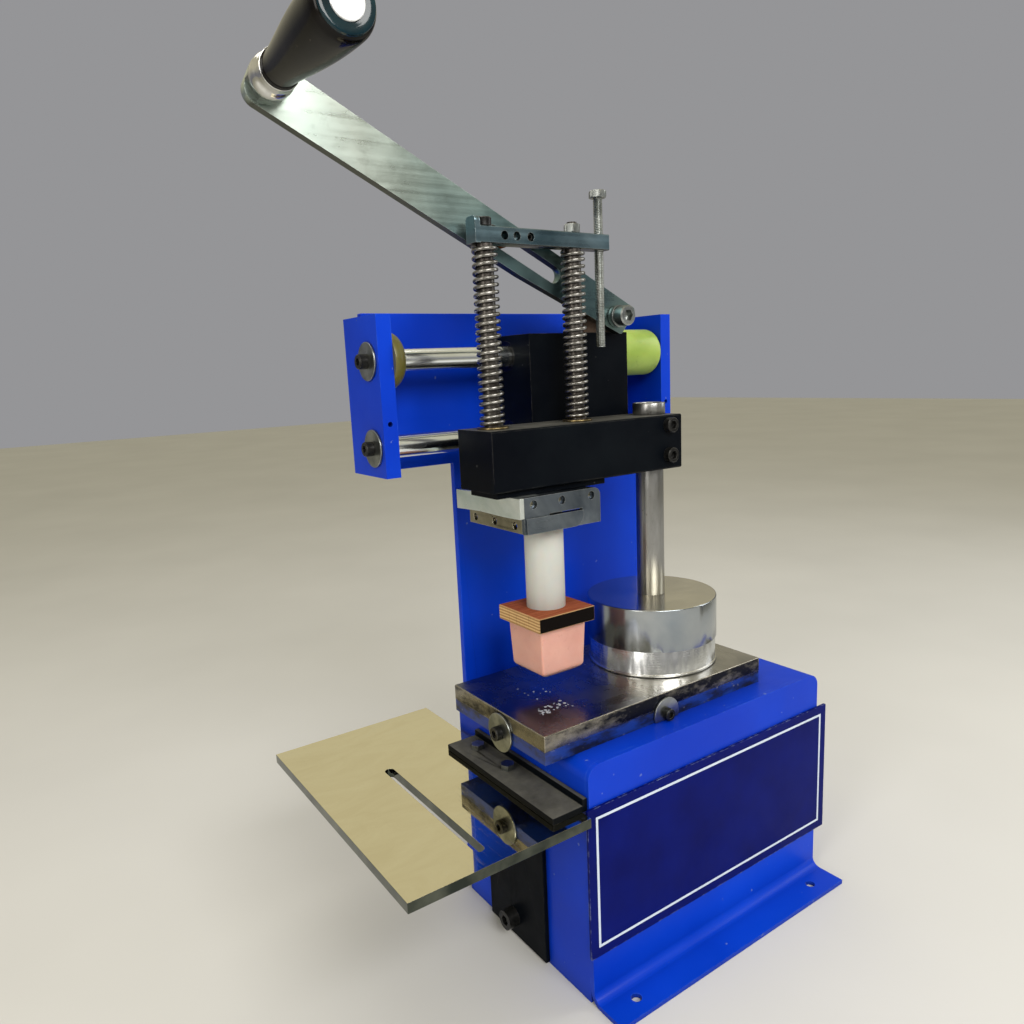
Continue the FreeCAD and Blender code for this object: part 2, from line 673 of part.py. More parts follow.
def roller_pin():
    def at(y):
        return (PIN_X, y, PIN_Z)

    pin = cylinder(BAR_HOLE_R, at(-3.0), at(BAR_Y[1]))
    pin = pin.fuse(cylinder(4.0, at(BAR_Y[1]), at(LEVER_Y[0] - 0.3)))
    pin = pin.fuse(cylinder(3.0, at(LEVER_Y[0] - 0.3), at(LEVER_Y[1] + 0.3)))
    return pin.fuse(cylinder(5.0, at(LEVER_Y[1] + 0.3), at(LEVER_Y[1] + 1.7))).removeSplitter()


def roller():
    return ring(ROLLER_R, 3.05, (PIN_X, LEVER_Y[0], PIN_Z), (PIN_X, LEVER_Y[1], PIN_Z))


def clamp_holes():
    return ((-102.0, HEAD_Y), (-59.6, HEAD_Y))


def drilled(shape, radius, z0, z1):
    for x, y in clamp_holes():
        shape = shape.cut(cylinder(radius, (x, y, z0), (x, y, z1)))
    return shape


def yoke_plate():
    """Black cross plate that ties the lower ends of both guide rods."""
    yoke = box(*YOKE_X, *YOKE_Y, *YOKE_Z)
    for x in ROD_X:
        yoke = yoke.cut(cylinder(ROD_STUD_R, (x, HEAD_Y, YOKE_Z[0]), (x, HEAD_Y, YOKE_Z[1])))
    return drilled(yoke, 2.05, YOKE_Z[0] - 1, YOKE_Z[1] + 1)


def clamp_front_angle():
    """Zinc angle with its face forward: three holes, a sawn slit and a tongue pressed out below it."""
    top = YOKE_Z[0]
    face = box(*CLAMP_X, CLAMP_FRONT_Y, CLAMP_FRONT_Y + PLATE_T, CLAMP_LOW, top)
    corner = [e for e in face.Edges
              if e.BoundBox.YLength > 1 and e.BoundBox.XMin > CLAMP_X[1] - 1 and e.BoundBox.ZMin > top - 1]
    face = face.makeFillet(5.0, corner)
    leg = box(CLAMP_SPLIT_X, CLAMP_X[1] - 5.0, CLAMP_FRONT_Y + PLATE_T, 18.0, top - PLATE_T, top)
    angle = face.fuse(leg)
    for x in (-103.6, -82.3, -59.2):
        angle = angle.cut(cylinder(2.6, (x, CLAMP_FRONT_Y - 1, top - 4.6),
                                   (x, CLAMP_FRONT_Y + PLATE_T - 0.2, top - 4.6)))
        angle = angle.cut(cylinder(1.6, (x, CLAMP_FRONT_Y - 1, top - 4.6),
                                   (x, CLAMP_FRONT_Y + PLATE_T + 0.5, top - 4.6)))
    slit_left, slit_right, slit_z = CLAMP_SLIT
    angle = angle.cut(box(slit_left, slit_right, CLAMP_FRONT_Y - 1, CLAMP_FRONT_Y + PLATE_T,
                          slit_z, slit_z + 1.0))
    tongue = box(CLAMP_X[0] + 1, slit_right, CLAMP_FRONT_Y - 1.3, CLAMP_FRONT_Y, CLAMP_LOW, slit_z)
    tip = [e for e in tongue.Edges
           if e.BoundBox.YLength > 1 and e.BoundBox.XMin > slit_right - 1 and e.BoundBox.ZMax < slit_z - 1]
    angle = angle.fuse(tongue.makeFillet(7.0, tip))
    angle = angle.cut(stem_bolt_hole(top - PLATE_T - 1, top + 1))
    return drilled(angle, 2.2, top - PLATE_T - 1, top + 1).removeSplitter()


def stem_bolt_hole(z0, z1):
    return cylinder(4.2, (STEM_X, HEAD_Y, z0), (STEM_X, HEAD_Y, z1))


def clamp_side_angle():
    """Zinc angle with its face to the left: three holes along it."""
    top = YOKE_Z[0] - PLATE_T
    back = 36.6
    front = CLAMP_FRONT_Y + PLATE_T
    face = box(CLAMP_X[0], CLAMP_X[0] + PLATE_T, front, back, CLAMP_LOW, top)
    leg = box(CLAMP_X[0] + PLATE_T, -54.0, front, back, top - PLATE_T, top)
    angle = face.fuse(leg)
    for y in (-14.2, 7.8, 29.7):
        angle = angle.cut(cylinder(2.3, (CLAMP_X[0] - 1, y, CLAMP_LOW + 4.2),
                                   (CLAMP_X[0] + PLATE_T + 1, y, CLAMP_LOW + 4.2)))
    angle = angle.cut(stem_bolt_hole(top - PLATE_T - 1, top + 1))
    return drilled(angle, 2.2, top - PLATE_T - 1, top + 1).removeSplitter()


def clamp_upper_angle():
    """Zinc angle above the side angle, its face bent into three flats."""
    top = YOKE_Z[0]
    low = CLAMP_LOW + 9.5
    outer = CLAMP_X[0]
    bends = ((CLAMP_FRONT_Y, 0.0), (-8.5, 1.2), (17.5, 0.0), (41.0, 3.6))
    inner_side = [V(outer - lean, y, low) for y, lean in bends]
    outer_side = [V(outer - lean - PLATE_T, y, low) for y, lean in reversed(bends)]
    corners = inner_side + outer_side + inner_side[:1]
    face = Part.Face(Part.makePolygon(corners)).extrude(V(0, 0, top - low))
    leg = box(outer, CLAMP_SPLIT_X - 0.5, CLAMP_FRONT_Y + PLATE_T, 12.0, top - PLATE_T, top)
    return drilled(face.fuse(leg), 2.2, top - PLATE_T - 1, top + 1).removeSplitter()


def clamp_screws():
    """Screws that hold the angles to the yoke, and the threaded bar that carries the stem."""
    seat = YOKE_Z[0] - 2 * PLATE_T
    screws = [screw((x, y, seat), (0, 0, 1), 2.0, YOKE_Z[1] - seat, 4.2, 3.0)
              for x, y in clamp_holes()]
    return group(screws + [cylinder(4.0, (STEM_X, HEAD_Y, seat - 20), (STEM_X, HEAD_Y, YOKE_Z[0]))])


def pad_stem():
    low, top = PAD_BLOCK_Z + PAD_BLOCK[1], YOKE_Z[0] - 2 * PLATE_T
    stem = cylinder(STEM_R, (STEM_X, HEAD_Y, low), (STEM_X, HEAD_Y, top))
    return stem.cut(cylinder(4.0, (STEM_X, HEAD_Y, top - 20), (STEM_X, HEAD_Y, top)))


def pad_block():
    half = PAD_BLOCK[0] / 2
    block = box(STEM_X - half, STEM_X + half, HEAD_Y - half, HEAD_Y + half,
                PAD_BLOCK_Z, PAD_BLOCK_Z + PAD_BLOCK[1])
    return block.makeChamfer(0.5, block.Edges)


def silicone_pad():
    """Square pad with slightly tapered sides and a low spherical printing face."""
    top_side, low_side = PAD_SIDES
    wires = [rounded_rectangle(STEM_X, HEAD_Y, PAD_BLOCK_Z, top_side, PAD_CORNER),
             rounded_rectangle(STEM_X, HEAD_Y, PAD_TIP_Z - 1, low_side, PAD_CORNER)]
    dome = Part.makeSphere(PAD_DOME_R, V(STEM_X, HEAD_Y, PAD_TIP_Z + PAD_DOME_R))
    return Part.makeLoft(wires, True, True).common(dome)


def spring(x):
    """Open coil spring between a bush flange and the top bar."""
    low = CROSS_Z[1] + GUIDE_FLANGE[1] + SPRING_WIRE_R
    length = BAR_Z[0] - SPRING_WIRE_R - low
    helix = Part.makeHelix(length / SPRING_TURNS, length, SPRING_R)
    circle = Part.Wire(Part.makeCircle(SPRING_WIRE_R, V(SPRING_R, 0, 0), V(0, 1, 0)))
    coil = Part.Wire(helix).makePipeShell([circle], True, True)
    coil.translate(V(x, HEAD_Y, low))
    return coil


def stop_screw():
    """Adjusting screw that limits the head's stroke on the front block."""
    return hex_screw((STOP_X, HEAD_Y, STOP_Z[1]), (0, 0, -1), STOP_R, STOP_Z[1] - STOP_Z[0], 10.0, 4.4)


# Lever --------------------------------------------------------------------

def lever_point(along, y):
    """Point on the lever's centre line, measured from its pivot toward the handle."""
    rise = math.radians(LEVER_RISE)
    return V(PIVOT_X - along * math.cos(rise), y, PIVOT_Z + along * math.sin(rise))


def on_lever(shape):
    """Moves a shape drawn with the pivot at the origin and the handle toward -X."""
    shape.rotate(V(0, 0, 0), V(0, 1, 0), LEVER_RISE)
    shape.translate(V(PIVOT_X, 0, PIVOT_Z))
    return shape


def lever_bar():
    y0, y1 = LEVER_Y
    half = LEVER_W / 2
    outline = [V(-LEVER_REACH, y0, -half), V(-LEVER_REACH, y0, half), V(LEVER_TAIL, y0, half),
               V(LEVER_TAIL - 5.0, y0, -LEVER_TAIL_DROP), V(-LEVER_TAPER_AT, y0, -half)]
    bar = Part.Face(Part.makePolygon(outline + outline[:1])).extrude(V(0, y1 - y0, 0))
    corners = [e for e in bar.Edges if e.BoundBox.YLength > 3]
    bar = bar.makeFillet(LEVER_END_R, [e for e in corners if e.BoundBox.XMin < -LEVER_TAPER_AT - 1])
    tail = [e for e in bar.Edges if e.BoundBox.YLength > 3 and e.BoundBox.XLength < 0.01
            and e.BoundBox.XMin > 0]
    bar = bar.makeFillet(2.5, tail)
    low, high = SLOT[0] + SLOT_W / 2, SLOT[1] - SLOT_W / 2
    slot = box(-high, -low, y0 - 1, y1 + 1, -SLOT_W / 2, SLOT_W / 2)
    for along in (low, high):
        slot = slot.fuse(cylinder(SLOT_W / 2, (-along, y0 - 1, 0), (-along, y1 + 1, 0)))
    bar = bar.cut(slot)
    bar = bar.cut(cylinder(PIVOT_R + 0.05, (0, y0 - 1, 0), (0, y1 + 1, 0)))
    bar = bar.cut(cylinder(4.1, (-HANDLE_AT, y0 - 1, 0), (-HANDLE_AT, y1 + 1, 0)))
    return on_lever(bar)


def handle_spindle():
    """Bolt through the lever that the grip turns on, with its head behind and a nut in front."""
    bolt = cylinder(4.0, lever_point(HANDLE_AT, LEVER_Y[1]), lever_point(HANDLE_AT, -78.0))
    head = hex_prism(13.0, lever_point(HANDLE_AT, LEVER_Y[1]), lever_point(HANDLE_AT, LEVER_Y[1] + 4.5))
    low, top = lever_point(HANDLE_AT, LEVER_Y[0]), lever_point(HANDLE_AT, FERRULE_Y[0])
    nut = hex_prism(18.0, low, top).cut(cylinder(4.0, low, top))
    return group([bolt.fuse(head).removeSplitter(), nut])


def turned(profile, bore):
    """Solid of revolution about the handle's axis from (y, radius) pairs, bored through."""
    points = [V(0, profile[0][0], 0)]
    points += [V(radius, y, 0) for y, radius in profile]
    points += [V(0, profile[-1][0], 0)]
    points.append(points[0])
    solid = Part.Face(Part.makePolygon(points)).revolve(V(0, 0, 0), V(0, 1, 0), 360)
    centre = lever_point(HANDLE_AT, 0)
    solid.translate(centre)
    if bore:
        solid = solid.cut(cylinder(bore, lever_point(HANDLE_AT, profile[0][0] + 1),
                                   lever_point(HANDLE_AT, bore_end(profile))))
    return solid


def bore_end(profile):
    return max(profile[-1][0] - 1, -80.0)


def handle_ferrule():
    y0, y1 = FERRULE_Y
    return turned([(y0, 10.6), (y0 - 5, 10.6), (y0 - 7, 9.2), (y1 + 2, 9.0), (y1 + 1, 9.8), (y1, 9.8)], 4.0)


def handle_grip():
    """Tapered grip that turns freely on the spindle."""
    y0, y1 = GRIP_Y
    steps = 14
    profile = []
    for step in range(steps + 1):
        share = step / steps
        swell = 9.2 + 5.1 * math.sin(math.radians(90 * share)) ** 1.3
        profile.append((y0 + (y1 + 5 - y0) * share, swell))
    profile += [(y1 + 2.2, 14.0), (y1 + 0.6, 13.2), (y1, 12.6)]
    return turned(profile, 4.06)


def grip_end_cap():
    """Stepped plug that closes the grip's outer end."""
    y1 = GRIP_Y[1]
    return turned([(y1, 12.4), (y1 - 1.4, 11.8), (y1 - 1.4, 8.8), (y1 - 2.0, 8.4)], 0)


PARTS = {
    "base_shell": base_shell_tapped,
    "base_front_panel": lambda: footed_panel(FRONT_Y, -1),
    "base_rear_panel": base_rear_panel,
    "column_plate": column_plate,
    "column_bolts": column_bolts,
    "rail_end_left": lambda: rail_end(END_LEFT_X),
    "rail_end_right": lambda: rail_end(END_RIGHT_X - END_T),
    "guide_rail_upper": lambda: guide_rail(RAIL_Z[0]),
    "guide_rail_lower": lambda: guide_rail(RAIL_Z[1]),
    "rail_washers": rail_washers,
    "rail_screws": rail_screws,
    "bumper_left": bumper_left,
    "bumper_right": bumper_right,
    "bed_plate": bed_plate,
    "cliche_plate": cliche_plate,
    "cliche_washers": cliche_washers,
    "cliche_screws": cliche_screws,
    "name_plate": name_plate,
    "work_table": work_table,
    "table_bracket_upper": table_bracket_upper,
    "table_bracket_lower": table_bracket_lower,
    "table_bolts": table_bolts,
    "bracket_screws": bracket_screws,
    "carriage_block": carriage_block,
    "rail_bushings": rail_bushings,
    "front_block": front_block,
    "guide_bushings": guide_bushings,
    "lever_lug": lever_lug,
    "carriage_screws": carriage_screws,
    "pivot_screw": pivot_screw,
    "pivot_spacers": pivot_spacers,
    "cup_rod": cup_rod,
    "cup_rod_collar": cup_rod_collar,
    "spring_left": lambda: spring(ROD_X[0]),
    "spring_right": lambda: spring(ROD_X[1]),
    "cup_body": cup_body,
    "cup_ring": cup_ring,
    "cup_seal": cup_seal,
    "cup_magnet": cup_magnet,
    "top_bar": top_bar,
    "head_rod_left": head_rod_left,
    "head_rod_right": head_rod_right,
    "head_screws": head_screws,
    "rod_top_nut": rod_top_nut,
    "roller_pin": roller_pin,
    "roller": roller,
    "yoke_plate": yoke_plate,
    "clamp_front_angle": clamp_front_angle,
    "clamp_side_angle": clamp_side_angle,
    "clamp_upper_angle": clamp_upper_angle,
    "clamp_screws": clamp_screws,
    "pad_stem": pad_stem,
    "pad_block": pad_block,
    "silicone_pad": silicone_pad,
    "stop_screw": stop_screw,
    "lever_bar": lever_bar,
    "handle_spindle": handle_spindle,
    "handle_ferrule": handle_ferrule,
    "handle_grip": handle_grip,
    "grip_end_cap": grip_end_cap,
}

os.makedirs("parts", exist_ok=True)
for node, make in PARTS.items():
    shape = make()
    if not shape.isValid():
        print("invalid shape:", node)
    print(node, len(shape.Solids), round(shape.Volume))
    shape.exportStep("parts/" + node + ".step")
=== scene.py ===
import math

import bmesh
import bpy
from mathutils import Euler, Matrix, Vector


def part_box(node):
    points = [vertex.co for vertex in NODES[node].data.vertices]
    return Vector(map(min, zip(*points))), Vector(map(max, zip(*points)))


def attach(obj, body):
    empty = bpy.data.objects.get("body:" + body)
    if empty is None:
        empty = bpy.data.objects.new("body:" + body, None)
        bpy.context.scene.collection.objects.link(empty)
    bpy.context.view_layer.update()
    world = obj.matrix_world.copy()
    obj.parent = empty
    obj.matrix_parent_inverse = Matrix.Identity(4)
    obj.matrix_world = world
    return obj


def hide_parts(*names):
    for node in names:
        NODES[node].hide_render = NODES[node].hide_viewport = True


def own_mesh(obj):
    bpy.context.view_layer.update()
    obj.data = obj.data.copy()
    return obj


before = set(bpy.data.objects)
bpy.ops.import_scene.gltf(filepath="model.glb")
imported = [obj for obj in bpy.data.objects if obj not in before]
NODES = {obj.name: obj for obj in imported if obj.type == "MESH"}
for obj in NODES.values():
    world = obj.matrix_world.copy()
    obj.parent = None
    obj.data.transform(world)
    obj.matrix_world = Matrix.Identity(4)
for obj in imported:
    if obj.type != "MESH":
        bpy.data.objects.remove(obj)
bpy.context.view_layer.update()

MM = 0.001


# Shader helpers --------------------------------------------------------------

class Shader:
    """One procedural material, with short calls for the nodes that it is made of."""

    def __init__(self, name, roughness=0.5, metallic=0.0, **sockets):
        self.material = bpy.data.materials.new(name)
        self.material.use_nodes = True
        self.tree = self.material.node_tree
        self.surface = self.tree.nodes["Principled BSDF"]
        self.surface.inputs["Roughness"].default_value = roughness
        self.surface.inputs["Metallic"].default_value = metallic
        for socket, value in sockets.items():
            self.surface.inputs[socket.replace("_", " ")].default_value = value
        self.place = self.tree.nodes.new("ShaderNodeTexCoord").outputs["Object"]
        self.height = None

    def node(self, kind, inputs=(), **settings):
        """A new node; each of its inputs is set to a value or linked to a socket."""
        made = self.tree.nodes.new(kind)
        for key, value in settings.items():
            setattr(made, key, value)
        for socket, value in dict(inputs).items():
            if isinstance(value, bpy.types.NodeSocket):
                self.tree.links.new(value, made.inputs[socket])
            else:
                made.inputs[socket].default_value = value
        return made

    def stretched(self, scale=(1, 1, 1), turn=(0, 0, 0)):
        """Object coordinates, turned and scaled for streaks."""
        made = self.node("ShaderNodeMapping", {0: self.place, "Rotation": turn, "Scale": scale})
        return made.outputs[0]

    def noise(self, scale, detail=4.0, rough=0.55, at=None, distortion=0.0):
        made = self.node("ShaderNodeTexNoise", {"Vector": at or self.place, "Scale": scale, "Detail": detail,
                                                "Roughness": rough, "Distortion": distortion})
        return made.outputs["Fac"]

    def math(self, operation, a, b=0.0):
        return self.node("ShaderNodeMath", {0: a, 1: b}, operation=operation).outputs[0]

    def span(self, value, low, high, to_low=0.0, to_high=1.0):
        """Maps value from low..high to to_low..to_high, clamped."""
        made = self.node("ShaderNodeMapRange", {"Value": value, "From Min": low, "From Max": high,
                                                "To Min": to_low, "To Max": to_high})
        return made.outputs[0]

    def axis(self, letter, source=None):
        made = self.node("ShaderNodeSeparateXYZ", {0: source or self.place})
        return made.outputs[letter]

    def facing(self, letter):
        """The surface normal's component along one of the object's axes."""
        normal = self.tree.nodes.new("ShaderNodeTexCoord").outputs["Normal"]
        return self.axis(letter, normal)

    def edges(self, radius=0.0012, low=0.01, high=0.12):
        """Mask that is 1 along sharp edges and 0 on flats."""
        soft = self.node("ShaderNodeBevel", {"Radius": radius}, samples=4).outputs[0]
        flat = self.tree.nodes.new("ShaderNodeNewGeometry").outputs["Normal"]
        dot = self.node("ShaderNodeVectorMath", {0: soft, 1: flat}, operation="DOT_PRODUCT").outputs["Value"]
        return self.span(dot, 1 - low, 1 - high)

    def corner_shade(self, distance=0.006):
        """Ambient-occlusion mask that is 1 in open places and falls to 0 in corners; where it darkens a
        colour it paints shade.
        """
        return self.node("ShaderNodeAmbientOcclusion", {"Distance": distance}, samples=6).outputs["AO"]

    def blend(self, factor, a, b):
        """Colour going from a to b as factor goes from 0 to 1; each is a socket or an RGB triple."""
        ends = [end if isinstance(end, bpy.types.NodeSocket) else (*end, 1.0) for end in (a, b)]
        made = self.node("ShaderNodeMix", {0: factor, 6: ends[0], 7: ends[1]}, data_type="RGBA")
        return made.outputs[2]

    def link(self, socket, value):
        self.tree.links.new(value, self.surface.inputs[socket])

    def colour(self, value):
        self.link("Base Color", value)

    def rough(self, value, low, high):
        """Roughness from low to high as value goes from 0 to 1."""
        self.link("Roughness", self.span(value, 0.0, 1.0, low, high))

    def bump(self, height, strength, distance):
        """Adds a layer of relief on top of those already there."""
        inputs = {"Height": height, "Strength": strength, "Distance": distance}
        if self.height:
            inputs["Normal"] = self.height
        self.height = self.node("ShaderNodeBump", inputs).outputs[0]
        self.link("Normal", self.height)


# Mesh helpers ------------------------------------------------------------------

def make_object(name, vertices, faces, smooth_angle=35):
    """Mesh object shaded smooth, except across edges that turn more than smooth_angle degrees."""
    mesh = bpy.data.meshes.new(name)
    mesh.from_pydata([tuple(v) for v in vertices], [], faces)
    mesh.update()
    bm = bmesh.new()
    bm.from_mesh(mesh)
    bmesh.ops.recalc_face_normals(bm, faces=bm.faces)
    for face in bm.faces:
        face.smooth = True
    for edge in bm.edges:
        edge.smooth = edge.calc_face_angle(0.0) < math.radians(smooth_angle)
    bm.to_mesh(mesh)
    bm.free()
    piece = bpy.data.objects.new(name, mesh)
    bpy.context.scene.collection.objects.link(piece)
    return piece


def joined(name, pieces):
    """One object from several that share a material."""
    vertices, faces = [], []
    for piece in pieces:
        start = len(vertices)
        vertices += [piece.matrix_world @ v.co for v in piece.data.vertices]
        faces += [[start + i for i in face.vertices] for face in piece.data.polygons]
        bpy.data.objects.remove(piece)
    return make_object(name, vertices, faces)


def axes_of(along):
    """Unit vectors along an axis and across it."""
    along = Vector(along).normalized()
    side = along.cross(Vector((0, 0, 1)))
    if side.length < 0.5:
        side = Vector((1, 0, 0))
    side.normalize()
    return along, side, along.cross(side)


def side_faces(rows, count):
    """Quads between closed rows of count points each."""
    faces = []
    for row in range(rows - 1):
        for i in range(count):
            after = (i + 1) % count
            faces.append([row * count + i, row * count + after,
                          (row + 1) * count + after, (row + 1) * count + i])
    return faces


def closed_faces(rows, count):
    """Quads between closed rows, with a cap on the first row and on the last."""
    first = list(range(count))[::-1]
    last = [(rows - 1) * count + i for i in range(count)]
    return side_faces(rows, count) + [first, last]


def turned(name, origin, along, profile, segments=72, smooth_angle=35):
    """Closed solid about an axis; profile is (distance, radius) pairs, and a radius that changes
    round the axis is a function of the turn."""
    along, side, other = axes_of(along)
    origin = Vector(origin)
    vertices = []
    for distance, radius in profile:
        for turn in range(segments):
            angle = 2 * math.pi * turn / segments
            r = radius(turn) if callable(radius) else radius
            vertices.append(origin + along * distance
                            + side * (r * math.cos(angle)) + other * (r * math.sin(angle)))
    return make_object(name, vertices, closed_faces(len(profile), segments), smooth_angle)


def hexagon(reach, turn, segments=72):
    """Radius, at this turn, of a hexagon whose flats are at the distance reach."""
    angle = (2 * math.pi * turn / segments) % (math.pi / 3) - math.pi / 6
    return reach / math.cos(angle)


def cap_screw(name, seat, along, head_r, head_h, key, shank_r, shank_l):
    """Socket cap screw with a knurled head; along points from the seat into the part."""
    chamfer = head_h * 0.10
    key_depth = head_h * 0.6
    key_reach = key / math.sqrt(3) * math.cos(math.pi / 6)

    def socket(turn):
        return hexagon(key_reach, turn)

    profile = [(shank_l, shank_r * 0.9), (shank_l - shank_r * 0.2, shank_r), (0.0, shank_r),
               (0.0, head_r * 0.97)]
    for share, knurl in ((0.06, 0.0), (0.14, 0.022), (0.86, 0.022)):
        profile.append((-head_h * share, lambda turn, k=knurl: head_r * (1 - k * (turn % 2))))
    profile += [(-head_h + chamfer, head_r), (-head_h, head_r - chamfer),
                (-head_h, lambda turn: socket(turn) * 1.06), (-head_h + 0.04 * head_h, socket),
                (-head_h + key_depth, socket), (-head_h + key_depth * 1.12, 0.05 * key)]
    return turned(name, seat, along, profile, smooth_angle=40)


def hex_head(name, low, along, across_flats, height, dish):
    """Hexagonal head or nut body with rounded-off corners at both ends."""
    reach = across_flats / 2
    corner = reach / math.cos(math.pi / 6)
    drop = height * 0.12

    def ring(limit):
        return lambda turn: min(hexagon(reach, turn), limit)

    profile = [(0.0, ring(reach * 0.97)), (drop * 0.4, ring(reach * 1.03)), (drop, ring(corner)),
               (height - drop, ring(corner)), (height - drop * 0.4, ring(reach * 1.03)),
               (height, ring(reach * 0.95)), (height - dish, ring(reach * 0.70))]
    return turned(name, low, along, profile, smooth_angle=28)


def thread(name, low, along, radius, length, pitch, depth):
    """Screw thread: a rod whose radius follows a helix, closed at both ends."""
    segments, per_pitch = 28, 6
    rows = int(length / pitch * per_pitch)

    def groove(z):
        """Radius round the rod at height z; the thread fades out toward both ends."""
        fade = min(1.0, min(z, length - z) / (0.7 * pitch))

        def radius_at(turn):
            phase = (z / pitch - turn / segments) % 1.0
            return radius - depth * (abs(2 * phase - 1) * fade + 0.35 * (1 - fade))

        return radius_at

    heights = [length * row / rows for row in range(rows + 1)]
    return turned(name, low, along, [(z, groove(z)) for z in heights], segments, smooth_angle=60)


def coil(name, low, height, radius, wire, turns):
    """Compression spring along +Z: open turns between one closed turn at each end."""
    per_turn, sides = 40, 12
    steps = int((turns + 2) * per_turn)
    closed_rise = 2 * wire * 0.98
    open_height = height - 2 * wire - 2 * closed_rise
    vertices = []
    low = Vector(low)
    for step in range(steps + 1):
        t = step / per_turn
        if t < 1:
            z = closed_rise * t
        elif t < 1 + turns:
            z = closed_rise + open_height * (t - 1) / turns
        else:
            z = closed_rise + open_height + closed_rise * (t - 1 - turns)
        angle = 2 * math.pi * t
        out = Vector((math.cos(angle), math.sin(angle), 0))
        centre = low + out * radius + Vector((0, 0, z + wire))
        for k in range(sides):
            a = 2 * math.pi * k / sides
            point = centre + out * (wire * math.cos(a)) + Vector((0, 0, wire * math.sin(a)))
            point.z = min(max(point.z, low.z), low.z + height)
            vertices.append(point)
    return make_object(name, vertices, closed_faces(steps + 1, sides), smooth_angle=75)


def box_of(node):
    """Lowest and highest corner of a CAD node, in metres."""
    low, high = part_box(node)
    return Vector(low), Vector(high)


def finish_piece(piece, shader, slot, body, *nodes):
    """Gives a new piece its material, body and the CAD nodes that it stands for."""
    piece.data.materials.append(shader.material)
    if nodes:
        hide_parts(*nodes)
    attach(piece, body)


def dress(node, shader, bevel=0.0, segments=2):
    """Gives a CAD node its material and a small rounding on its sharp edges."""
    piece = NODES[node]
    for material_slot in piece.material_slots:
        material_slot.material = shader.material
    if bevel:
        weld = piece.modifiers.new("weld", "WELD")
        weld.merge_threshold = 0.002 * MM
        rounding = piece.modifiers.new("rounding", "BEVEL")
        rounding.width = bevel * MM
        rounding.segments = segments
        rounding.limit_method = "ANGLE"
        rounding.angle_limit = math.radians(40)
        rounding.harden_normals = True
        rounding.use_clamp_overlap = True
    return piece


def round_outside(node, shader, bevel, hidden):
    """Dresses a welded panel, and rounds only those sharp edges that hidden(point) leaves out."""
    piece = dress(node, shader, bevel, segments=3)
    mesh = piece.data
    sides = [0] * len(mesh.edges)
    index = {tuple(sorted(edge.vertices)): edge.index for edge in mesh.edges}
    for face in mesh.polygons:
        for key in face.edge_keys:
            sides[index[tuple(sorted(key))]] += 1
    weight = mesh.attributes.new("bevel_weight_edge", "FLOAT", "EDGE")
    for edge in mesh.edges:
        ends = [mesh.vertices[i].co for i in edge.vertices]
        shown = sides[edge.index] == 1 and not any(hidden(end) for end in ends)
        weight.data[edge.index].value = 1.0 if shown else 0.0
    piece.modifiers["rounding"].limit_method = "WEIGHT"


# Materials ---------------------------------------------------------------------

def blue_paint():
    s = Shader("blue_enamel", roughness=0.36, Specular_IOR_Level=0.13, Coat_Weight=0.02, Coat_Roughness=0.15)
    blotch = s.noise(9, 3)
    base = s.blend(s.span(blotch, 0.35, 0.7), (0.0004, 0.030, 0.44), (0.0010, 0.045, 0.57))
    cloudy = s.span(s.noise(3.5, 4), 0.45, 0.75, 0.0, 0.35)
    base = s.blend(cloudy, base, (0.004, 0.075, 0.62))
    worn = s.math("MULTIPLY", s.edges(0.0011, 0.02, 0.16), s.span(s.noise(120, 5), 0.46, 0.66))
    base = s.blend(s.math("MULTIPLY", worn, 0.45), base, (0.05, 0.15, 0.62))
    chips = s.span(s.noise(230, 2, 0.4), 0.755, 0.765)
    base = s.blend(s.math("MULTIPLY", chips, 0.55), base, (0.16, 0.22, 0.44))
    # Painted shade: the enamel darkens toward navy in corners, creases and under parts, by ambient
    # occlusion.
    grime_and_shade = s.span(s.corner_shade(0.018), 0.25, 0.9, 0.55, 0.0)
    base = s.blend(grime_and_shade, base, (0.001, 0.006, 0.075))
    s.colour(base)
    s.rough(s.span(s.noise(34, 6), 0.3, 0.75), 0.30, 0.48)
    s.bump(s.noise(900, 2, 0.5), 0.04, 0.0003)
    s.bump(s.noise(60, 2, 0.5), 0.05, 0.0012)
    return s


def navy_label():
    s = Shader("navy_label_film", roughness=0.36, Specular_IOR_Level=0.05)
    base = s.blend(s.span(s.noise(30, 3), 0.3, 0.7), (0.0008, 0.0030, 0.085), (0.0012, 0.0055, 0.125))
    rub = s.math("MULTIPLY", s.edges(0.0009, 0.02, 0.2), s.span(s.noise(200, 4), 0.48, 0.62))
    s.colour(s.blend(rub, base, (0.20, 0.24, 0.36)))
    s.rough(s.span(s.noise(55, 5), 0.3, 0.7), 0.28, 0.44)
    s.bump(s.noise(500, 2), 0.03, 0.0002)
    return s


def label_line():
    s = Shader("label_line_film", roughness=0.42)
    s.colour(s.blend(s.span(s.noise(180, 4), 0.3, 0.7), (0.52, 0.60, 0.74), (0.60, 0.67, 0.79)))
    s.rough(s.noise(90, 3), 0.34, 0.5)
    return s


